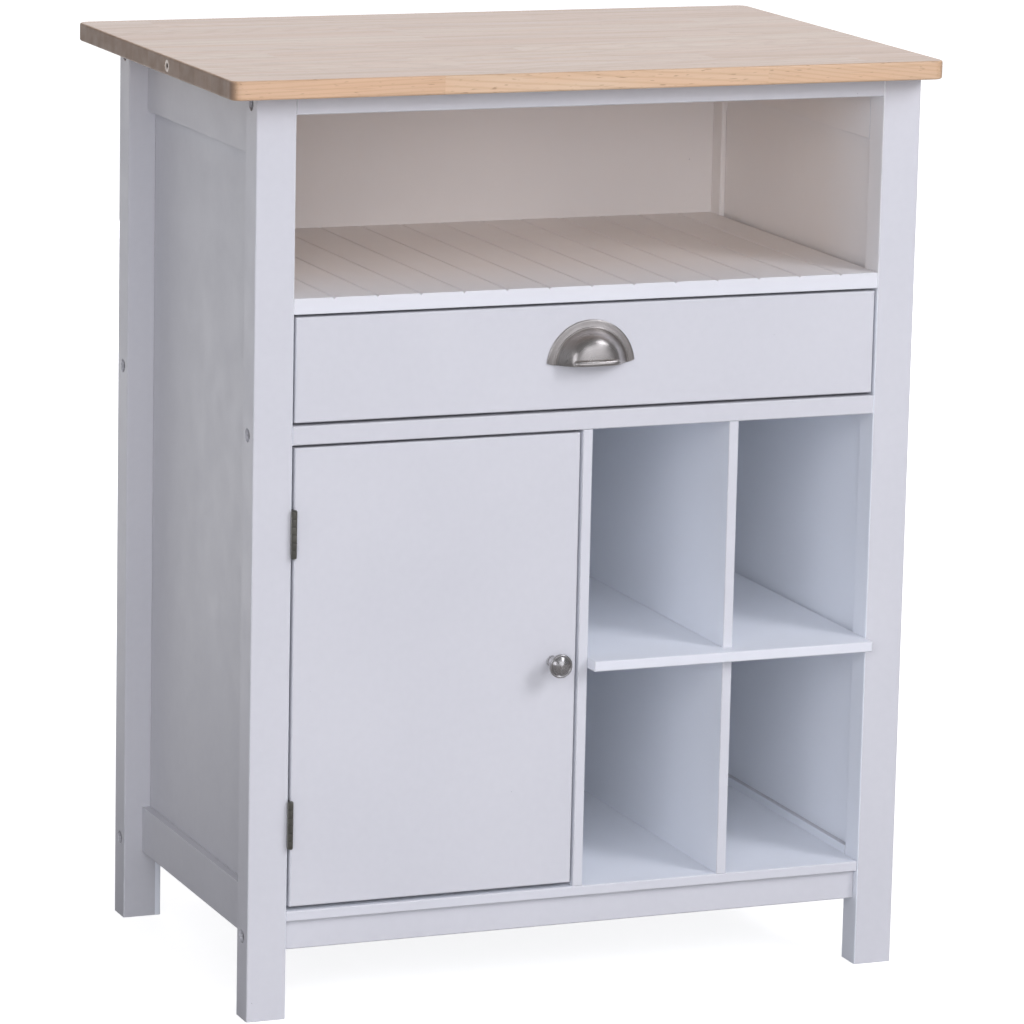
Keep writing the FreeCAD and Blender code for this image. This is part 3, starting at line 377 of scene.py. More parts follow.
def topFinish(name, lacquer):
    # Jointed staves along X, with rings, streaks, pores and end grain
    look = topLook
    material, tree = newFinish(name)
    coordinates = addNode(tree, "TexCoord")
    place = coordinates.outputs["Object"]
    axes = addNode(tree, "SeparateXYZ", {0: place}).outputs
    x, y = axes[0], axes[1]

    # Which stave: rows across the depth, blocks along each row, with interlocked fingers between blocks
    rowPlace = calc(tree, "DIVIDE", calc(tree, "ADD", y, look["rowsFrom"]), look["staveWide"])
    row = calc(tree, "FLOOR", rowPlace)
    rowSeed = addNode(tree, "TexWhiteNoise", {"W": row}, noise_dimensions="1D").outputs
    zigzag = calc(tree, "PINGPONG", calc(tree, "DIVIDE", y, look["fingerPitch"]), 0.5)
    reach = calc(tree, "MULTIPLY", zigzag, look["fingerLong"] * 2)
    shortest, longest = (share * look["staveLong"] for share in look["staveRange"])
    length = spread(tree, rowSeed["Value"], 0, 1, shortest, longest)
    along = calc(tree, "DIVIDE", calc(tree, "ADD", x, reach), length)
    blockPlace = calc(tree, "ADD", along, calc(tree, "MULTIPLY", rowSeed["Value"], look["blockShift"]))
    block = calc(tree, "FLOOR", blockPlace)
    stave = addNode(tree, "CombineXYZ", {0: row, 1: block}).outputs[0]
    seed = addNode(tree, "TexWhiteNoise", {"Vector": stave}, noise_dimensions="3D").outputs
    tone = ramp(tree, seed["Value"], look["tones"])

    # Year rings round a heart that differs from stave to stave, pulled out along the grain
    heart = vectorCalc(tree, "MULTIPLY", seed["Color"], look["heartPlace"])
    shifted = vectorCalc(tree, "ADD", place, heart)

    def drawnNoise(scale, detail):
        return noise(tree, vectorCalc(tree, "MULTIPLY", shifted, scale), 1.0, detail)

    wander = drawnNoise(look["wanderScale"], 3)
    lean = vectorCalc(tree, "SUBTRACT", seed["Color"], (0.5, 0.5, 0.5))
    run = vectorCalc(tree, "SCALE", lean)
    tree.links.new(calc(tree, "MULTIPLY", x, look["skew"]), run.node.inputs["Scale"])
    across = vectorCalc(tree, "MULTIPLY", vectorCalc(tree, "ADD", shifted, run), (0.0, 1.0, 1.0))
    fromHeart = vectorCalc(tree, "LENGTH", across)
    waver = calc(tree, "MULTIPLY", wander, look["ringWander"])
    phase = calc(tree, "ADD", calc(tree, "MULTIPLY", fromHeart, look["ringTurn"]), waver)
    rings = calc(tree, "ADD", calc(tree, "MULTIPLY", calc(tree, "SINE", phase), 0.5), 0.5)
    cloud = drawnNoise(look["flushScale"], 3)
    colour = blend(tree, spread(tree, cloud, *look["flushSpread"]), tone, look["flush"])
    ringLine = calc(tree, "MULTIPLY", calc(tree, "POWER", rings, look["ringPower"]), look["ringShare"])
    colour = blend(tree, ringLine, colour, look["late"])

    # Streaks, fibres and pores along the grain
    streak = drawnNoise(look["streakScale"], 4)
    colour = blend(tree, spread(tree, streak, *look["streakSpread"]), colour, look["late"])
    fibre = drawnNoise(look["fibreScale"], 2)
    colour = blend(tree, spread(tree, fibre, *look["fibreSpread"]), colour, look["pore"])
    fleck = drawnNoise(look["fleckScale"], 1)
    colour = blend(tree, spread(tree, fleck, *look["fleckSpread"]), colour, look["pore"])

    # End grain where the surface faces along the staves
    normalX = addNode(tree, "SeparateXYZ", {0: coordinates.outputs["Normal"]}).outputs[0]
    cut = spread(tree, calc(tree, "ABSOLUTE", normalX), *look["endSpread"])
    mean = calc(tree, "MULTIPLY", calc(tree, "ADD", rowSeed["Value"], streak), 0.5)
    endTone = blend(tree, spread(tree, mean, *look["endToneSpread"]), look["endGrain"], look["endDark"])
    colour = blend(tree, cut, colour, endTone)

    # Glue lines between rows
    fromLine = calc(tree, "ABSOLUTE", calc(tree, "SUBTRACT", calc(tree, "FRACT", rowPlace), 0.5))
    colour = blend(tree, spread(tree, fromLine, *look["glueSpread"]), colour, look["glue"])

    ridge = calc(tree, "MULTIPLY", rings, look["ringHigh"])
    height = calc(tree, "SUBTRACT", ridge, calc(tree, "MULTIPLY", fibre, look["fibreDeep"]))
    normal = bump(tree, height, look["grainStrength"], look["grainHigh"])
    closeFinish(tree, colour, spread(tree, streak, *look["shineSpread"]), normal, lacquer)
    return material


boxLook = {
    "tones": [(0.0, (0.66, 0.53, 0.37)), (0.5, (0.72, 0.60, 0.43)), (1.0, (0.60, 0.46, 0.31))],
    "late": (0.47, 0.33, 0.19, 1),
    "bands": 60.0, "bandSpread": (0.2, 1.0, 0, 0.35),
    "fibreScale": (9.0, 9.0, 9.0), "fibreSpread": (0.5, 0.8, 0, 0.3),
    "grainHigh": 0.15 * mm, "grainStrength": 0.2, "shineSpread": (0.3, 0.7, 0.55, 0.72),
}


def boxWoodFinish(name, stretch):
    # Sanded, unpainted wood; stretch gives the grain's scale along X, Y and Z
    look = boxLook
    material, tree = newFinish(name)
    place = addNode(tree, "TexCoord").outputs["Object"]
    drawn = vectorCalc(tree, "MULTIPLY", place, stretch)
    wander = noise(tree, drawn, 1.0, 4)
    tone = ramp(tree, wander, look["tones"])
    bands = calc(tree, "SINE", calc(tree, "MULTIPLY", wander, look["bands"]))
    colour = blend(tree, spread(tree, bands, *look["bandSpread"]), tone, look["late"])
    fibre = noise(tree, vectorCalc(tree, "MULTIPLY", drawn, look["fibreScale"]), 1.0, 3)
    colour = blend(tree, spread(tree, fibre, *look["fibreSpread"]), colour, look["late"])
    normal = bump(tree, fibre, look["grainStrength"], look["grainHigh"])
    closeFinish(tree, colour, spread(tree, fibre, *look["shineSpread"]), normal)
    return material


metalWear = {"cloudScale": 70, "cloudSpread": (0.3, 0.7, 0, 1), "markSpread": (0.5, 0.8, 0, 0.35),
             "markDetail": 3, "cloudShine": 0.5, "shineFrom": (0.5, 1.0), "markHigh": 0.05 * mm}


def metalFinish(name, look, place=None):
    # Metal with lathe marks round an axis along Y through place, or with fine grain all ways
    material, tree = newFinish(name)
    coordinates = addNode(tree, "TexCoord").outputs["Object"]
    pattern, more = coordinates, {"Metallic": 1.0}
    if place is not None:
        local = vectorCalc(tree, "SUBTRACT", coordinates, tuple(place))
        outward = vectorCalc(tree, "MULTIPLY", local, (1.0, 0.0, 1.0))
        deep = addNode(tree, "SeparateXYZ", {0: local}).outputs[1]
        pattern = addNode(tree, "CombineXYZ", {0: vectorCalc(tree, "LENGTH", outward), 1: deep}).outputs[0]
        spoke = addNode(tree, "VectorTransform", {0: outward},
                        vector_type="VECTOR", convert_from="OBJECT", convert_to="WORLD")
        more.update({"Anisotropic": look["turned"], "Tangent": spoke.outputs[0]})
    marks = noise(tree, pattern, look["marks"], metalWear["markDetail"])
    cloud = noise(tree, coordinates, metalWear["cloudScale"], 3)
    colour = blend(tree, spread(tree, cloud, *metalWear["cloudSpread"]), look["colour"], look["dulled"])
    colour = blend(tree, spread(tree, marks, *metalWear["markSpread"]), colour, look["dulled"])
    worn = calc(tree, "ADD", marks, calc(tree, "MULTIPLY", cloud, metalWear["cloudShine"]))
    shine = spread(tree, worn, *metalWear["shineFrom"], *look["roughness"])
    normal = bump(tree, marks, look["strength"], metalWear["markHigh"])
    closeFinish(tree, colour, shine, normal, more)
    return material


metalLooks = {
    "pull": {"colour": (0.68, 0.65, 0.63, 1), "dulled": (0.60, 0.57, 0.55, 1),
             "marks": 2600, "roughness": (0.24, 0.34), "strength": 0.05, "turned": 0.7},
    "knob": {"colour": (0.78, 0.77, 0.77, 1), "dulled": (0.69, 0.68, 0.68, 1),
             "marks": 1800, "roughness": (0.22, 0.32), "strength": 0.03, "turned": 0.85},
    "hinge": {"colour": (0.36, 0.355, 0.31, 1), "dulled": (0.24, 0.235, 0.21, 1),
              "marks": 900, "roughness": (0.30, 0.45), "strength": 0.20},
    "bolt": {"colour": (0.23, 0.23, 0.24, 1), "dulled": (0.15, 0.15, 0.16, 1),
             "marks": 1200, "roughness": (0.35, 0.50), "strength": 0.20},
    "screw": {"colour": (0.62, 0.62, 0.63, 1), "dulled": (0.50, 0.50, 0.51, 1),
              "marks": 1400, "roughness": (0.25, 0.38), "strength": 0.10},
    "insert": {"colour": (0.46, 0.41, 0.37, 1), "dulled": (0.38, 0.33, 0.30, 1),
               "marks": 1500, "roughness": (0.35, 0.48), "strength": 0.10},
}

pullLow, pullHigh = nodeBox("cup_pull")
knobLow, knobHigh = nodeBox("door_knob")
knobMiddle = (knobLow + knobHigh) / 2
pullDrop = 5 * mm                            # the half rings' axis lies this far below the pull's lower edge
pullPlace = np.array([(pullLow[0] + pullHigh[0]) / 2, pullHigh[1], pullLow[2] - pullDrop])
knobPlace = (knobMiddle[0], knobHigh[1], knobMiddle[2])

paint = paintFinish("satin_white_paint", (0.0, 0.0, 0.0))
# On these boards the inner coat, a lighter tone that paints the light inside, covers all but the front
# edges, where the given least share of it is left; the shelves keep more of it on their fronts as painted
# light
innerBoardsPaintedLight = paintFinish("inner_boards_paint_painted_light", (0.0, 1.0, 0.0), innerFrom=-0.5, leastPaintedLight=0.12)
shelfPaintedLight = paintFinish("shelf_paint_painted_light", (0.0, 1.0, 0.0), innerFrom=-0.5, leastPaintedLight=0.45)
# Frame parts: their faces turned into the cabinet take the lighter inner coat, as painted light
leftPaint = paintFinish("left_frame_paint_painted_light", (1.0, 0.0, 0.0))
rightPaint = paintFinish("right_frame_paint_painted_light", (-1.0, 0.0, 0.0))
backPaint = paintFinish("back_frame_paint_painted_light", (0.0, -1.0, 0.0))
rearLeftPaint = paintFinish("rear_left_post_paint_painted_light", (0.7, -0.7, 0.0))
rearRightPaint = paintFinish("rear_right_post_paint_painted_light", (-0.7, -0.7, 0.0))
staves = topFinish("jointed_wood_staves", {"Coat Weight": 0.75, "Coat Roughness": 0.22})
endWood = topFinish("worktop_end_grain", {"Specular IOR Level": 0.25})
woodAlongX = boxWoodFinish("drawer_wood_along_x", (2.5, 45.0, 45.0))
woodAlongY = boxWoodFinish("drawer_wood_along_y", (45.0, 2.5, 45.0))
pullMetal = metalFinish("brushed_nickel", metalLooks["pull"], (pullPlace[0], 0.0, pullPlace[2]))
knobMetal = metalFinish("polished_chrome", metalLooks["knob"], (knobPlace[0], 0.0, knobPlace[2]))
hingeMetal = metalFinish("dull_hinge_plate", metalLooks["hinge"])
boltMetal = metalFinish("dark_zinc", metalLooks["bolt"])
screwMetal = metalFinish("bright_zinc", metalLooks["screw"])
insertMetal = metalFinish("insert_plate", metalLooks["insert"])

plasticLook = {"pale": (0.80, 0.80, 0.78, 1), "dulled": (0.72, 0.72, 0.70, 1), "cloudScale": 40,
               "sparkScale": 2400, "sparkHigh": 0.05 * mm, "sparkStrength": 0.15,
               "shineSpread": (0.3, 0.7, 0.42, 0.55)}


def plasticFinish():
    look = plasticLook
    material, tree = newFinish("moulded_white_plastic")
    place = addNode(tree, "TexCoord").outputs["Object"]
    colour = blend(tree, noise(tree, place, look["cloudScale"]), look["pale"], look["dulled"])
    spark = noise(tree, place, look["sparkScale"])
    normal = bump(tree, spark, look["sparkStrength"], look["sparkHigh"])
    closeFinish(tree, colour, spread(tree, spark, *look["shineSpread"]), normal)
    return material


plastic = plasticFinish()
print("finishes made:", len(bpy.data.materials))


def dress(names, material):
    for name in names:
        holder = nodes[name]
        if not holder.material_slots:
            holder.data.materials.append(material)
        for holderSlot in holder.material_slots:
            holderSlot.material = material


slotNodes = {}
for entry in frame["record"]["subparts"]:
    slotNodes.setdefault(entry["material_slot"], []).append(entry["node"])
dress(slotNodes["white_paint"], paint)
dress(["drawer_deck", "bottom_board", "partition", "cubby_divider"], innerBoardsPaintedLight)
dress(["grooved_shelf", "cubby_shelf"], shelfPaintedLight)
for side, sidePaint in (("left", leftPaint), ("right", rightPaint)):
    frameNames = ["side_panel_", "post_front_", "upper_side_rail_", "lower_side_rail_"]
    dress([frameName + side for frameName in frameNames], sidePaint)
dress(["post_rear_left"], rearLeftPaint)
dress(["post_rear_right"], rearRightPaint)
dress(["upper_back_panel", "lower_back_panel"], backPaint)
dress(["top_back_rail", "middle_back_rail", "bottom_back_rail"], backPaint)
dress([name for name in slotNodes["plain_wood"] if "side" in name or "runner" in name], woodAlongY)
dress(["drawer_back", "drawer_bottom"], woodAlongX)
dress(slotNodes["screw_metal"], screwMetal)
print("boards painted:", len(slotNodes["white_paint"]))


# Worktop: the edge profile of a board carried round a rectangle with rounded corners

slabLook = {"corner": 11 * mm, "edge": 2.2 * mm, "hem": 0.5 * mm, "cornerSteps": 14, "edgeSteps": 7,
            "endFrom": 0.5,                  # a face that looks this far along X is end grain
            "holeSpare": 0.1 * mm, "holeDeep": 14.2 * mm}


def slabShell(low, high, look):
    # Each point of the profile is an inset and a height; the outline at that inset is a rectangle with arcs
    # A narrow strip, as wide as hem, lies flat beside each rounding, so that the large faces shade flat
    half, centre = (high - low) / 2, (high + low) / 2
    edge, hem = look["edge"], look["hem"]
    bow = np.linspace(0, np.pi / 2, look["edgeSteps"])
    upper, lower = edge * (1 - np.sin(bow)), edge * (1 - np.cos(bow))
    inset = np.concatenate([[edge + hem], upper, [0, 0], lower, [edge + hem]])
    height = np.concatenate([
        [high[2]], high[2] - lower, [high[2] - edge - hem, low[2] + edge + hem], low[2] + upper, [low[2]]])
    swing = np.concatenate([[0], np.linspace(0, 1, look["cornerSteps"]), [1]])
    slide = np.concatenate([[-hem], np.zeros(look["cornerSteps"]), [hem]])
    turn = (np.arange(4)[:, None] + swing).ravel() * np.pi / 2
    along = np.tile(slide, 4)
    corner = np.repeat(np.arange(4), len(swing))
    signX, signY = np.where((corner == 0) | (corner == 3), 1, -1), np.where(corner < 2, 1, -1)
    radius = look["corner"] - inset[:, None]
    points = np.empty((len(inset), len(turn), 3))
    middleX = centre[0] + signX * (half[0] - look["corner"])
    middleY = centre[1] + signY * (half[1] - look["corner"])
    points[..., 0] = middleX + radius * np.cos(turn) - along * np.sin(turn)
    points[..., 1] = middleY + radius * np.sin(turn) + along * np.cos(turn)
    points[..., 2] = height[:, None]
    faces = gridFaces(len(inset), len(turn), wrapColumns=True)
    last = (len(inset) - 1) * len(turn)
    faces += [list(range(len(turn))), [last + i for i in range(len(turn))]]
    return points.reshape(-1, 3), faces


insertLow, insertHigh = nodeBox("worktop_edge_insert")
insertMiddle = (insertLow + insertHigh) / 2
insertRadius = (insertHigh[2] - insertLow[2]) / 2
slabLow, slabHigh = nodeBox("worktop")
slab = makePiece("worktop_slab", [slabShell(slabLow, slabHigh, slabLook)],
                 staves, "carcass", ["worktop"])


def boreHole(piece, place, axis, radius, long):
    # Cuts a round hole with a straight cutter that is taken away again
    profile = [(0, -long), (radius, -long), (radius, long), (0, long)]
    cutMesh = closeMesh("hole_cutter", *turned(profile, place, axis, steps=48))
    cutter = bpy.data.objects.new("hole_cutter", cutMesh)
    bpy.context.scene.collection.objects.link(cutter)
    modifier = piece.modifiers.new("hole", "BOOLEAN")
    modifier.operation, modifier.object, modifier.solver = "DIFFERENCE", cutter, "EXACT"
    bpy.context.view_layer.update()
    graph = bpy.context.evaluated_depsgraph_get()
    finished = bpy.data.meshes.new_from_object(piece.evaluated_get(graph))
    smoothMesh(finished, meshLook["crease"])
    piece.modifiers.clear()
    piece.data = finished
    bpy.data.objects.remove(cutter)


boreHole(slab, (slabLow[0], insertMiddle[1], insertMiddle[2]), (1, 0, 0),
         insertRadius + slabLook["holeSpare"], slabLook["holeDeep"])


def faceNormals(mesh):
    # One row of X, Y and Z for each face
    flat = np.empty(len(mesh.polygons) * 3, np.float32)
    mesh.polygons.foreach_get("normal", flat)
    return flat.reshape(-1, 3)


slab.data.materials.append(endWood)
ends = (np.abs(faceNormals(slab.data)[:, 0]) > slabLook["endFrom"]).astype(np.int32)
slab.data.polygons.foreach_set("material_index", ends)
print("worktop made")


# Threaded insert in the worktop's left edge: a collar with a countersunk mouth and a ribbed bore

insertLook = {"bore": 2.1 * mm, "mouth": 3.0 * mm, "mouthDeep": 0.9 * mm, "pitch": 0.8 * mm, "turns": 12,
              "ribFrom": 1.2 * mm, "ribDeep": 0.22 * mm, "ease": (0.5 * mm, 0.25 * mm), "round": 0.4 * mm}


def insertProfile(look, radius, long):
    # (radius, distance from the edge): a rounded collar, then back along the bore over low and high ribs
    turns = np.arange(look["turns"] * 2)
    ribRadius = look["bore"] + look["ribDeep"] * (turns % 2)
    ribs = np.stack([ribRadius, look["ribFrom"] + turns * look["pitch"] / 2], 1)
    easeWide, easeDeep = look["ease"]
    collar = softCorners([
        (look["mouth"], easeDeep), (look["mouth"] + easeWide, 0),
        (radius, 0), (radius, long), (look["bore"], long),
    ], look["round"])
    return np.concatenate([collar, ribs[::-1], [(look["bore"], look["mouthDeep"])]])


insertShell = turned(
    insertProfile(insertLook, insertRadius, insertHigh[0] - insertLow[0]),
    (insertLow[0], insertMiddle[1], insertMiddle[2]), (1, 0, 0), closed=True,
)
makePiece("edge_insert", [insertShell], insertMetal, "carcass", ["worktop_edge_insert"])


# Frame bolts: round heads with a hexagon socket, sunk in the posts

boltLook = {"head": 6 * mm, "headThick": 5 * mm, "round": 0.8 * mm, "shank": 3 * mm, "shankLong": 54 * mm,
            "socket": 2.9 * mm, "socketDeep": 3 * mm, "socketTip": 0.6 * mm, "socketEase": 0.3 * mm,
            "sink": 8 * mm, "inset": 16 * mm}


def boltShell(place, axis, look, steps=72):
    # Rings from the socket's floor out over the head and along the shank; socket rings follow a hexagon
    angle = np.linspace(0, 2 * np.pi, steps, endpoint=False)
    flat = np.cos(np.pi / 6) / np.cos((angle % (np.pi / 3)) - np.pi / 6)
    top, bottom = look["headThick"], look["headThick"] - look["socketDeep"]
    bow = np.linspace(0, np.pi / 2, 6)
    rounded = look["head"] - look["round"] * (1 - np.sin(bow))
    socket, ease, shank, end = look["socket"], look["socketEase"], look["shank"], -look["shankLong"]
    rows = [(0, bottom - look["socketTip"], 1), (socket, bottom, 1),
            (socket, top - ease, 1), (socket + ease, top, 1)]
    rows += [(r, top - look["round"] * (1 - math.cos(b)), 0) for r, b in zip(rounded, bow)]
    rows += [(look["head"], 0, 0), (shank, 0, 0), (shank, end, 0), (0, end, 0)]
    radius, height, sided = np.array(rows).T
    reach = radius[:, None] * np.where(sided[:, None] > 0, flat[None], 1.0)
    first, second = sideways(axis)
    points = (
        np.asarray(place) + height[:, None, None] * np.asarray(axis, float)
        + (reach * np.cos(angle))[..., None] * first + (reach * np.sin(angle))[..., None] * second
    )
    return points.reshape(-1, 3), gridFaces(len(rows), steps, wrapColumns=True)


postLow = nodeBox("post_front_left")[0]
farHigh = nodeBox("post_rear_right")[1]
boltRows = (("front", postLow[1] + boltLook["inset"]), ("back", farHigh[1] - boltLook["inset"]))
boltPlaces = []
for railName in ("top", "middle", "bottom"):
    for railSide, boltY in boltRows:
        railLow, railHigh = nodeBox(f"{railName}_{railSide}_rail")
        boltZ = (railLow[2] + railHigh[2]) / 2
        boltPlaces.append(((postLow[0] + boltLook["sink"], boltY, boltZ), (-1, 0, 0)))
        boltPlaces.append(((farHigh[0] - boltLook["sink"], boltY, boltZ), (1, 0, 0)))
makePiece("frame_bolt_set", [boltShell(place, axis, boltLook) for place, axis in boltPlaces],
          boltMetal, "carcass", ["frame_bolts"])
print("bolts made:", len(boltPlaces))


# Cup pull: a half-turned shell with a flange, a bead, a domed face cut by a steep wall, and a rolled lip

pullLook = {
    "radius": 45.0,                          # mm, as are the other lengths here
    "base": 3.0, "endRise": 2.0,             # lower edge, and how far it rises at the flange's ends
    "flange": 1.9, "flangeSide": 1.6, "flangeIn": 1.5, "flangeRound": 0.8,
    "bead": 37.3, "beadHigh": 2.1, "beadHalf": 0.9, "beadRise": 0.8, "foot": 36.2, "footHigh": 2.7,
    "deep": 18.4, "fall": 3.7, "fallAt": 28.0, "fallPower": 3.9,
    "crease": (23.8, 30.5),                  # where the wall meets the face, at the sides and at the top
    "creaseSoft": (0.8, 3.0), "creaseTurn": 1.05,
    "wall": 1.5, "lipHigh": 6.2, "lipThick": 2.1, "lipOut": 0.4, "lipLean": 0.22, "lipLong": 24.0,
    "lipPower": 10,                          # higher for blunter ends
}


def pullFace(look, radius):
    # Depth of the domed face: its middle depth less a power of the radius
    return look["deep"] - look["fall"] * (np.abs(radius) / look["fallAt"]) ** look["fallPower"]


def pullBowl(look, radius, angle, inset):
    # Smooth lesser of the domed face and of a straight wall that rises from the bead to the crease
    share = np.clip(np.minimum(angle, np.pi - angle) / look["creaseTurn"], 0, 1)
    share = share ** 2 * (3 - 2 * share)
    crease = look["crease"][0] + (look["crease"][1] - look["crease"][0]) * share
    soft = look["creaseSoft"][0] + (look["creaseSoft"][1] - look["creaseSoft"][0]) * share
    slope = (pullFace(look, crease) - look["footHigh"]) / (look["foot"] - crease)
    face = pullFace(look, radius) - inset
    wall = look["footHigh"] + (look["foot"] - radius) * slope - inset * np.sqrt(1 + slope ** 2)
    return -soft * np.logaddexp(-face / soft, -wall / soft)


def pullRim(look):
    # Flange and bead as (radius, depth): a rounded edge, a shallow cove, then half a small ring
    flange = look["flange"]
    inner, outer = look["bead"] + look["beadHalf"], look["radius"] - look["flangeIn"]
    corners = [(look["radius"], 0), (look["radius"], look["flangeSide"]), (outer, flange)]
    edge = softCorners(corners, look["flangeRound"], 4)
    u = np.linspace(0, 1, 12)[1:]
    cove = np.stack([outer + (inner - outer) * u, flange + (look["beadHigh"] - flange) * u ** 2], 1)
    v = np.linspace(0, np.pi, 9)[1:]
    across, high = look["beadHalf"] * np.cos(v), look["beadRise"] * np.sin(v)
    bead = np.stack([look["bead"] + across, look["beadHigh"] + high], 1)
    return np.concatenate([edge, cove, bead])


def pullShell(look, place, columns=97, rows=64):
    # Half rings over a base line: at radius r they start and end where r sin(angle) is the base's height
    rim = pullRim(look)
    inward = np.linspace(look["foot"], look["base"], rows)
    radius = np.concatenate([rim[:, 0], inward])[:, None]
    reach = np.clip((radius - look["bead"]) / (look["radius"] - look["bead"]), 0, 1)
    start = np.arcsin(np.clip((look["base"] + look["endRise"] * reach ** 2) / radius, -1, 1))
    angle = start + (np.pi - 2 * start) * np.linspace(0, 1, columns)
    flange = np.broadcast_to(rim[:, 1:], (len(rim), columns))
    bowlRadius, bowlAngle = radius[len(rim):], angle[len(rim):]
    outer = np.concatenate([flange, pullBowl(look, bowlRadius, bowlAngle, 0)])
    inner = np.concatenate([flange - look["wall"], pullBowl(look, bowlRadius, bowlAngle, look["wall"])])
    depth = np.concatenate([outer, np.maximum(inner, 0)[::-1]])
    radius, angle = np.concatenate([radius, radius[::-1]]), np.concatenate([angle, angle[::-1]])
    points = np.stack([radius * np.cos(angle), -depth, radius * np.sin(angle)], -1) * mm + place
    faces = gridFaces(len(radius), columns, wrapRows=True)
    count = len(outer)
    pair = np.arange(count - 1)
    back = 2 * count - 1 - pair
    for column in (0, columns - 1):
        ends = np.stack([pair, pair + 1, back - 1, back], 1) * columns + column
        faces += ends.tolist()
    return points.reshape(-1, 3), faces


def lipShell(look, place, steps=48, around=28):
    # Rolled bar: an ellipse that leans out at its foot, carried along the face's lower edge, with blunt ends
    u = np.linspace(-1, 1, steps)[:, None]
    angle = np.linspace(0, 2 * np.pi, around, endpoint=False)[None]
    swell = np.sqrt(np.clip(1 - np.abs(u) ** look["lipPower"], 0, 1))
    half = look["lipHigh"] / 2
    across = u * look["lipLong"] + 0 * angle
    lean = look["lipLean"] * half * np.sin(angle)
    depth = pullFace(look, across) + look["lipOut"] + swell * (look["lipThick"] * np.cos(angle) - lean)
    height = look["base"] + half + half * swell * np.sin(angle)
    points = np.stack([across, -depth, height], -1) * mm + place
    return points.reshape(-1, 3), gridFaces(steps, around, wrapColumns=True)


makePiece("cup_pull_shell", [pullShell(pullLook, pullPlace), lipShell(pullLook, pullPlace)],
          pullMetal, "drawer", ["cup_pull"], crease=38)
print("cup pull made")


# Door knob: turned foot, waisted neck, and a head with a rim ring round a low dome

knobLook = {
    "long": 26.0, "head": 11.9,              # mm, as are the other lengths here
    "foot": 6.0, "footSide": 2.0, "footEase": 1.2, "footRound": 0.9,
    "neck": 4.3, "neckPowers": (3, 5), "neckShort": 2.4, "underIn": 0.7,
    "rim": 1.5, "rimDeep": 1.9, "rimTurn": (-0.9, np.pi / 2 + 0.6), "step": 1.1,
    "dome": 3.4, "domeIn": 0.9, "domePower": 2.2,
}


def knobProfile(look):
    # (radius, distance from the door) in mm, from the middle of the foot to the middle of the face
    rimAt = look["long"] - look["dome"] - look["rimDeep"] + look["step"]
    footTop, neckFrom = look["foot"] - look["footEase"], look["footSide"] + look["footEase"]
    corners = [(0, 0), (look["foot"], 0), (look["foot"], look["footSide"]), (footTop, neckFrom)]
    foot = softCorners(corners, look["footRound"], 5)
    u = np.linspace(0, 1, 14)[1:]
    under = look["head"] - look["rim"] - look["underIn"]
    narrowing, widening = (1 - u) ** look["neckPowers"][0], u ** look["neckPowers"][1]
    neck = np.stack([
        look["neck"] + (footTop - look["neck"]) * narrowing + (under - look["neck"]) * widening,
        neckFrom + (rimAt - look["neckShort"] - neckFrom) * u,
    ], 1)
    t = np.linspace(*look["rimTurn"], 14)
    rim = np.stack([look["head"] - look["rim"] * (1 - np.cos(t)), rimAt + look["rimDeep"] * np.sin(t)], 1)
    w = np.sin(np.linspace(np.pi / 2, 0, 22))
    domeWide = look["head"] - look["rim"] - look["domeIn"]
    dome = np.stack([domeWide * w, look["long"] - look["dome"] * w ** look["domePower"]], 1)
    return np.concatenate([foot, neck, rim, dome])


makePiece("door_knob_turned", [turned(knobProfile(knobLook) * mm, knobPlace, (0, -1, 0), steps=80)],
          knobMetal, "door", ["door_knob"], crease=50)
print("knob made")


# Hinges: flat leaves with rolled knuckles, countersunk screws and a headed pin

hingeLook = {
    "knuckle": 2.9 * mm, "knuckleRound": 0.35 * mm, "bore": 1.56 * mm, "boreStart": 0.01 * mm,
    "pitch": 7.5 * mm, "gap": 0.2 * mm, "knuckles": 3,                # for each leaf
    "leafNear": 0.25 * mm, "leafFar": 1.45 * mm, "leafRound": 0.4 * mm, "plateGap": 0.3 * mm,
    "neckFrom": 2.0 * mm, "neckLap": 0.8 * mm, "neckRound": 0.3 * mm,
    "pin": 1.5 * mm, "pinHead": 2.3 * mm, "pinHeadThick": 0.7 * mm, "pinRound": 0.3 * mm,
    "screwSpacing": 26 * mm, "screwBack": 9.9 * mm, "screwSeat": 0.30 * mm,
    "screw": 2.7 * mm, "screwRise": 0.16 * mm, "screwRecess": 0.14 * mm,
}


def hingeLeafShells(look, low, high, axisX, axisY, owner):
    # A flat plate beside the axis, rings round the axis at every second pitch, and a neck to each ring
    bore, knuckle, start = look["bore"], look["knuckle"], look["boreStart"]
    if owner == "post":
        leafX = (axisX - look["leafFar"], axisX - look["leafNear"])
    else:
        leafX = (axisX + look["leafNear"], axisX + look["leafFar"])
    plateFront = axisY + knuckle + look["plateGap"]
    shells = [roundBox((leafX[0], plateFront, low[2]), (leafX[1], high[1], high[2]), look["leafRound"])]
    for i in range(look["knuckles"]):
        bottom = low[2] + look["pitch"] * (2 * i + (owner == "door")) + look["gap"] / 2
        top = bottom + look["pitch"] - look["gap"]
        ring = softCorners([
            (bore, bottom + start), (bore, bottom), (knuckle, bottom),
            (knuckle, top), (bore, top), (bore, top - start),
        ], look["knuckleRound"], 4)
        shells.append(turned(ring, (axisX, axisY, 0), (0, 0, 1), steps=40, closed=True))
        neckLow = (leafX[0], axisY + look["neckFrom"], bottom)
        shells.append(roundBox(neckLow, (leafX[1], plateFront + look["neckLap"], top), look["neckRound"]))
    return shells


def pinProfile(look, low, high):
    # (radius, height) of a loose pin with a flat head at each end
    pin, head, thick = look["pin"], look["pinHead"], look["pinHeadThick"]
    return softCorners([
        (0, low), (head, low), (head, low + thick), (pin, low + thick),
        (pin, high - thick), (head, high - thick), (head, high), (0, high),
    ], look["pinRound"], 4)


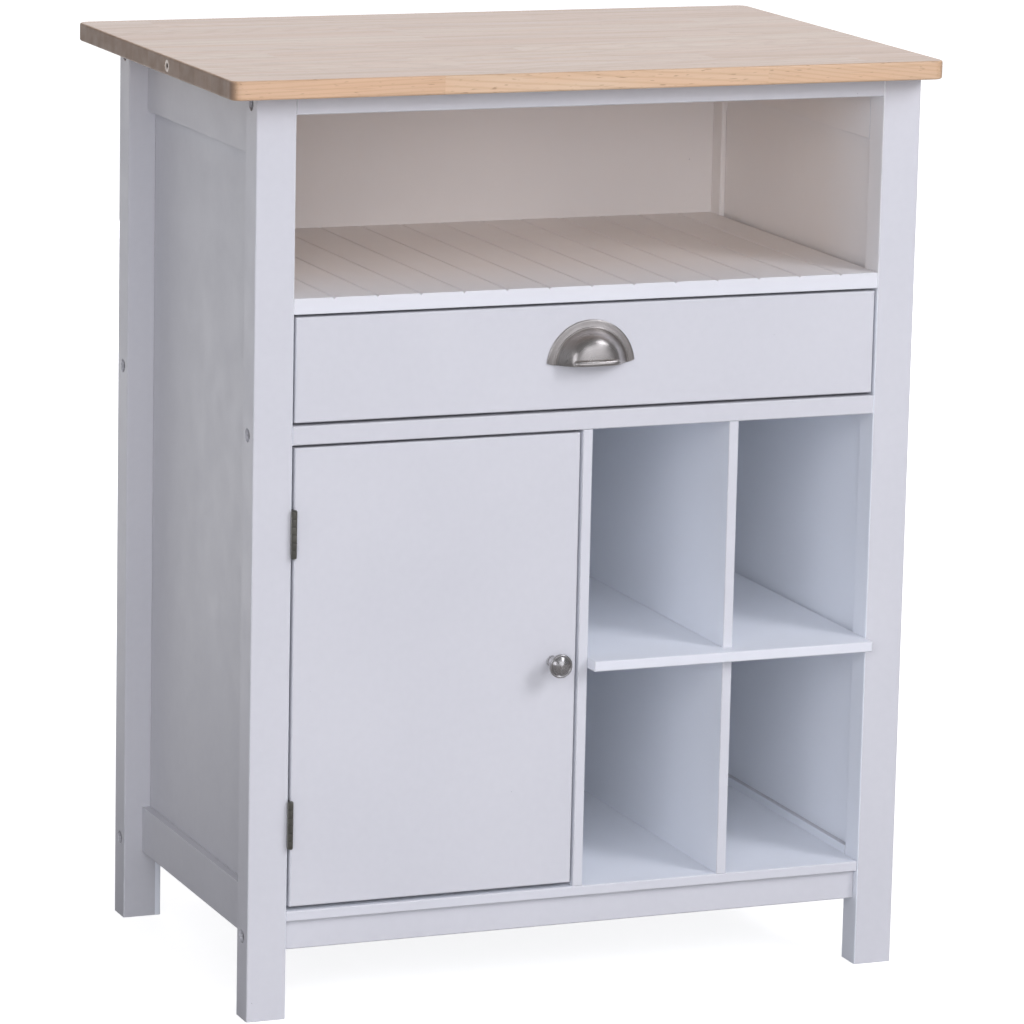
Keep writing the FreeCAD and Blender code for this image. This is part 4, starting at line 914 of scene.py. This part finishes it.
screwShells = {"post": [], "door": []}
for level in ("upper", "lower"):
    pinLow, pinHigh = nodeBox(f"hinge_pin_{level}")
    axisX, axisY = (pinLow[0] + pinHigh[0]) / 2, (pinLow[1] + pinHigh[1]) / 2
    for owner, body in (("post", "carcass"), ("door", "door")):
        leafLow, leafHigh = nodeBox(f"hinge_{owner}_leaf_{level}")
        leafShells = hingeLeafShells(hingeLook, leafLow, leafHigh, axisX, axisY, owner)
        makePiece(f"{owner}_leaf_{level}", leafShells,
                  hingeMetal, body, [f"hinge_{owner}_leaf_{level}"])
        out = 1 if owner == "post" else -1
        for step in (-0.5, 0.5):
            spot = (axisX - out * hingeLook["screwSeat"], axisY + hingeLook["screwBack"],
                    (leafLow[2] + leafHigh[2]) / 2 + step * hingeLook["screwSpacing"])
            screwShells[owner].append(crossHead(
                spot, (out, 0, 0), hingeLook["screw"], hingeLook["screwRise"], hingeLook["screwRecess"]))
    pin = turned(pinProfile(hingeLook, pinLow[2], pinHigh[2]), (axisX, axisY, 0), (0, 0, 1), steps=36)
    makePiece(f"loose_pin_{level}", [pin],
              hingeMetal, "carcass", [f"hinge_pin_{level}"])
makePiece("post_leaf_screws", screwShells["post"], screwMetal, "carcass")
makePiece("door_leaf_screws", screwShells["door"], screwMetal, "door")
print("hinges made")


# Small screws: under the top rails, behind the drawer front and behind the door

screwLook = {"head": 4 * mm, "rise": 2.4 * mm, "recess": 1.5 * mm, "topInset": 90 * mm,
             "pullSpacing": 64 * mm, "pullRise": 8 * mm}


def smallScrew(place, axis):
    return crossHead(place, axis, screwLook["head"], screwLook["rise"], screwLook["recess"])


topScrews = []
for railSide in ("front", "back"):
    railLow, railHigh = nodeBox(f"top_{railSide}_rail")
    for screwX in (railLow[0] + screwLook["topInset"], railHigh[0] - screwLook["topInset"]):
        topScrews.append(smallScrew((screwX, (railLow[1] + railHigh[1]) / 2, railLow[2]), (0, 0, -1)))
makePiece("worktop_screw_heads", topScrews, screwMetal, "carcass")

frontBack = nodeBox("drawer_front")[1][1]
screwZ = pullLow[2] + screwLook["pullRise"]
pullScrews = [
    smallScrew((pullPlace[0] + side * screwLook["pullSpacing"] / 2, frontBack, screwZ), (0, 1, 0))
    for side in (-1, 1)
]
makePiece("pull_screw_heads", pullScrews, screwMetal, "drawer")

doorBack = nodeBox("door_panel")[1][1]
knobScrew = smallScrew((knobMiddle[0], doorBack, knobMiddle[2]), (0, 1, 0))
makePiece("knob_screw_head", [knobScrew], screwMetal, "door")


# Shelf pins with rounded ends, and the magnetic catch with its steel keepers

pinLook = {"radius": 2.5 * mm, "long": 16 * mm, "round": 0.6 * mm,
           "partitionInset": 60 * mm, "postInset": 15 * mm}
pinsLow, pinsHigh = nodeBox("shelf_pins")
shelfPin = softCorners([
    (0, 0), (pinLook["radius"], 0), (pinLook["radius"], pinLook["long"]), (0, pinLook["long"]),
], pinLook["round"], 5)
partitionFront = nodeBox("partition")[0][1]
panelFront = nodeBox("lower_back_panel")[0][1]
pinHeight = (pinsLow[2] + pinsHigh[2]) / 2
pinRows = (
    (pinsLow[0], (1, 0, 0), partitionFront, panelFront, pinLook["partitionInset"]),
    (pinsHigh[0], (-1, 0, 0), postLow[1], farHigh[1], pinLook["postInset"]),
)
pinShells = []
for pinX, axis, rowFront, rowBack, inset in pinRows:
    for pinY in (rowFront + inset, rowBack - inset):
        pinShells.append(turned(shelfPin, (pinX, pinY, pinHeight), axis, steps=32))
makePiece("shelf_pin_set", pinShells,
          screwMetal, "carcass", ["shelf_pins"])

catchLow, catchHigh = nodeBox("magnetic_catch")
catchLook = {
    "round": 1.2 * mm, "ear": 9 * mm, "earBack": 2 * mm, "earDrop": 7 * mm,
    "keeper": 1.2 * mm, "keeperAt": (0.25, 0.6), "keeperIn": 2 * mm,
    "keeperOut": 0.15 * mm, "keeperDeep": 3 * mm, "keeperRound": 0.3 * mm,
    "screw": 3 * mm, "screwRise": 1.6 * mm, "screwRecess": 1 * mm, "screwBack": 1 * mm,
}
bodyLow = (catchLow[0] + catchLook["ear"], catchLow[1], catchLow[2])
bodyHigh = (catchHigh[0] - catchLook["ear"], catchHigh[1], catchHigh[2])
earLow = (catchLow[0], catchLow[1] + catchLook["earBack"], catchLow[2] + catchLook["earDrop"])
catchBoxes = ((bodyLow, bodyHigh), (earLow, catchHigh))
makePiece("catch_case", [roundBox(low, high, catchLook["round"]) for low, high in catchBoxes],
          plastic, "carcass", ["magnetic_catch"])
keepers = []
for share in catchLook["keeperAt"]:
    bottom = catchLow[2] + share * (catchHigh[2] - catchLow[2])
    keeperLow = (bodyLow[0] + catchLook["keeperIn"], catchLow[1] - catchLook["keeperOut"], bottom)
    keeperHigh = (bodyHigh[0] - catchLook["keeperIn"], catchLow[1] + catchLook["keeperDeep"],
                  bottom + catchLook["keeper"])
    keepers.append(roundBox(keeperLow, keeperHigh, catchLook["keeperRound"]))
screwY = (catchLow[1] + catchHigh[1]) / 2 + catchLook["screwBack"]
for earX in (catchLow[0] + catchLook["ear"] / 2, catchHigh[0] - catchLook["ear"] / 2):
    keepers.append(crossHead((earX, screwY, earLow[2]), (0, 0, -1),
                             catchLook["screw"], catchLook["screwRise"], catchLook["screwRecess"]))
makePiece("catch_keepers", keepers, screwMetal, "carcass")
print("small fittings made")


# Studio: camera, floor, soft lamps and a white surround

cameraLook = {
    "eye": (-1.980047, -4.923009, 1.540658),
    "yaw": 22.0857776, "pitch": 11.77339859, "roll": 1.22846749,     # degrees
    "lens": 193.55743, "sensor": 36.0, "clip": (0.1, 100),
}


def placeCamera(look):
    yaw, pitch, roll = (math.radians(look[key]) for key in ("yaw", "pitch", "roll"))
    right = Vector((math.cos(yaw), -math.sin(yaw), 0))
    ahead = Vector((math.sin(yaw) * math.cos(pitch), math.cos(yaw) * math.cos(pitch), -math.sin(pitch)))
    up = right.cross(ahead)
    rolledRight = right * math.cos(roll) + up * math.sin(roll)
    rolledUp = up * math.cos(roll) - right * math.sin(roll)
    data = bpy.data.cameras.new("photo_camera")
    data.lens, data.sensor_width = look["lens"], look["sensor"]
    data.clip_start, data.clip_end = look["clip"]
    camera = bpy.data.objects.new("photo_camera", data)
    turn = Matrix((rolledRight, rolledUp, -ahead)).transposed().to_4x4()
    camera.matrix_world = Matrix.Translation(look["eye"]) @ turn
    bpy.context.scene.collection.objects.link(camera)
    bpy.context.scene.camera = camera


placeCamera(cameraLook)

floorLook = {
    "half": 30.0,
    "pale": (0.56, 0.56, 0.56, 1), "plain": (0.16, 0.16, 0.16, 1), "dim": (0.25, 0.24, 0.23, 1),
    "paleFrom": -1.2, "plainFrom": -2.6,     # the pale sheet ends in front of the object
    "whiteFrom": 1.6, "greyFrom": 0.2,       # and shows less white in metal there
    "cloudScale": 3, "cloudSpread": (0.3, 0.7, 0, 0.06),
    "near": 0.5, "far": 1.4, "nearLift": 0.80,
}


def lightPath(tree):
    # Rays from the camera, and rays that reach it over metal or through glass
    path = addNode(tree, "LightPath").outputs
    return path["Is Camera Ray"], calc(tree, "MAXIMUM", path["Is Glossy Ray"], path["Is Transmission Ray"])


def floorFinish(look):
    # Pale floor that is raised to white where it is looked at or mirrored, and still takes shadows
    material, tree = newFinish("studio_floor")
    place = addNode(tree, "TexCoord").outputs["Object"]
    ahead = addNode(tree, "SeparateXYZ", {0: place}).outputs[1]
    sheet = spread(tree, ahead, look["plainFrom"], look["paleFrom"], 0, 1)
    colour = blend(tree, sheet, look["plain"], look["pale"])
    cloud = noise(tree, place, look["cloudScale"])
    colour = blend(tree, spread(tree, cloud, *look["cloudSpread"]), colour, look["plain"])
    direct, mirrored = lightPath(tree)
    behind = spread(tree, ahead, look["greyFrom"], look["whiteFrom"], 0, 1)
    dimmed = calc(tree, "MULTIPLY", mirrored, calc(tree, "SUBTRACT", 1.0, behind))
    matt = addNode(tree, "BsdfDiffuse", {"Color": blend(tree, dimmed, colour, look["dim"])})
    lift = spread(tree, vectorCalc(tree, "LENGTH", place), look["near"], look["far"], look["nearLift"], 1)
    shown = calc(tree, "MAXIMUM", direct, calc(tree, "MULTIPLY", mirrored, behind))
    glow = addNode(tree, "Emission", {"Strength": calc(tree, "MULTIPLY", shown, lift)})
    both = addNode(tree, "AddShader", {0: matt.outputs[0], 1: glow.outputs[0]})
    output = addNode(tree, "OutputMaterial")
    tree.links.new(both.outputs[0], output.inputs["Surface"])
    return material


half = floorLook["half"]
floorMesh = bpy.data.meshes.new("studio_floor")
floorCorners = [(-half, -half, 0), (half, -half, 0), (half, half, 0), (-half, half, 0)]
floorMesh.from_pydata(floorCorners, [], [(0, 1, 2, 3)])
floorMesh.materials.append(floorFinish(floorLook))
floor = bpy.data.objects.new("studio_floor", floorMesh)
bpy.context.scene.collection.objects.link(floor)

# Square lamps turned to the object; only the mirrored ones show in the metal
lampLook = {
    "key": {"place": (2.35, -3.35, 2.75), "size": 1.5, "watts": 63, "mirrored": False},
    "gleam": {"place": (2.4, -2.75, 3.3), "size": 1.5, "watts": 21, "mirrored": True},
    "front": {"place": (-0.9, -4.6, 2.2), "size": 2.2, "watts": 42, "mirrored": False},
    "side": {"place": (-2.8, -3.8, 1.6), "size": 2.8, "watts": 31, "mirrored": False},
    "strip": {"place": (-2.7, -3.66, 1.57), "size": 1.9, "watts": 19, "mirrored": True},
    "low": {"place": (1.4, -4.7, 1.5), "size": 3.0, "watts": 26, "mirrored": True},
    "high": {"place": (-1.2, -3.4, 3.4), "size": 2.2, "watts": 7.5, "mirrored": False},
    "fill": {"place": (-1.6, -4.6, 0.70), "size": 1.3, "watts": 16, "mirrored": False},
    "back": {"place": (0.8, 4.4, 1.2), "size": 2.4, "watts": 76, "mirrored": False},
}
lampColour = (0.932, 0.934, 1.0)
lampAim = Vector((0.0, 0.0, 0.45))
for lampName, look in lampLook.items():
    data = bpy.data.lights.new(lampName, "AREA")
    data.shape, data.size = "SQUARE", look["size"]
    data.energy, data.color = look["watts"], lampColour
    lamp = bpy.data.objects.new(lampName, data)
    lamp.location = look["place"]
    lamp.visible_camera, lamp.visible_glossy = False, look["mirrored"]
    lamp.rotation_euler = (lampAim - Vector(look["place"])).to_track_quat("-Z", "Y").to_euler()
    bpy.context.scene.collection.objects.link(lamp)

worldLook = {
    "soft": (0.278, 0.278, 0.298, 1),        # light on the object
    "white": (1.0, 1.0, 1.0, 1),             # backdrop as the camera sees it
    "paper": (0.955, 0.920, 0.940, 1),       # what metal mirrors of the side behind the object
    "dark": (0.15, 0.15, 0.155, 1),          # and of the side in front of it
    "darkFrom": 0.05, "whiteFrom": 0.5,
}
world = bpy.data.worlds.new("studio_surround")
bpy.context.scene.world = world
world.use_nodes = True
worldTree = world.node_tree
worldTree.nodes.clear()
direct, mirrored = lightPath(worldTree)
ahead = addNode(worldTree, "SeparateXYZ", {0: addNode(worldTree, "TexCoord").outputs["Object"]}).outputs[1]
behind = spread(worldTree, ahead, worldLook["darkFrom"], worldLook["whiteFrom"], 0, 1)
backdrop = blend(worldTree, behind, worldLook["dark"], worldLook["paper"])
shade = blend(worldTree, mirrored, worldLook["soft"], backdrop)
surround = addNode(worldTree, "Background", {"Color": blend(worldTree, direct, shade, worldLook["white"])})
worldOutput = addNode(worldTree, "OutputWorld")
worldTree.links.new(surround.outputs[0], worldOutput.inputs["Surface"])
bpy.context.scene.view_settings.view_transform = "Standard"
print("studio ready")
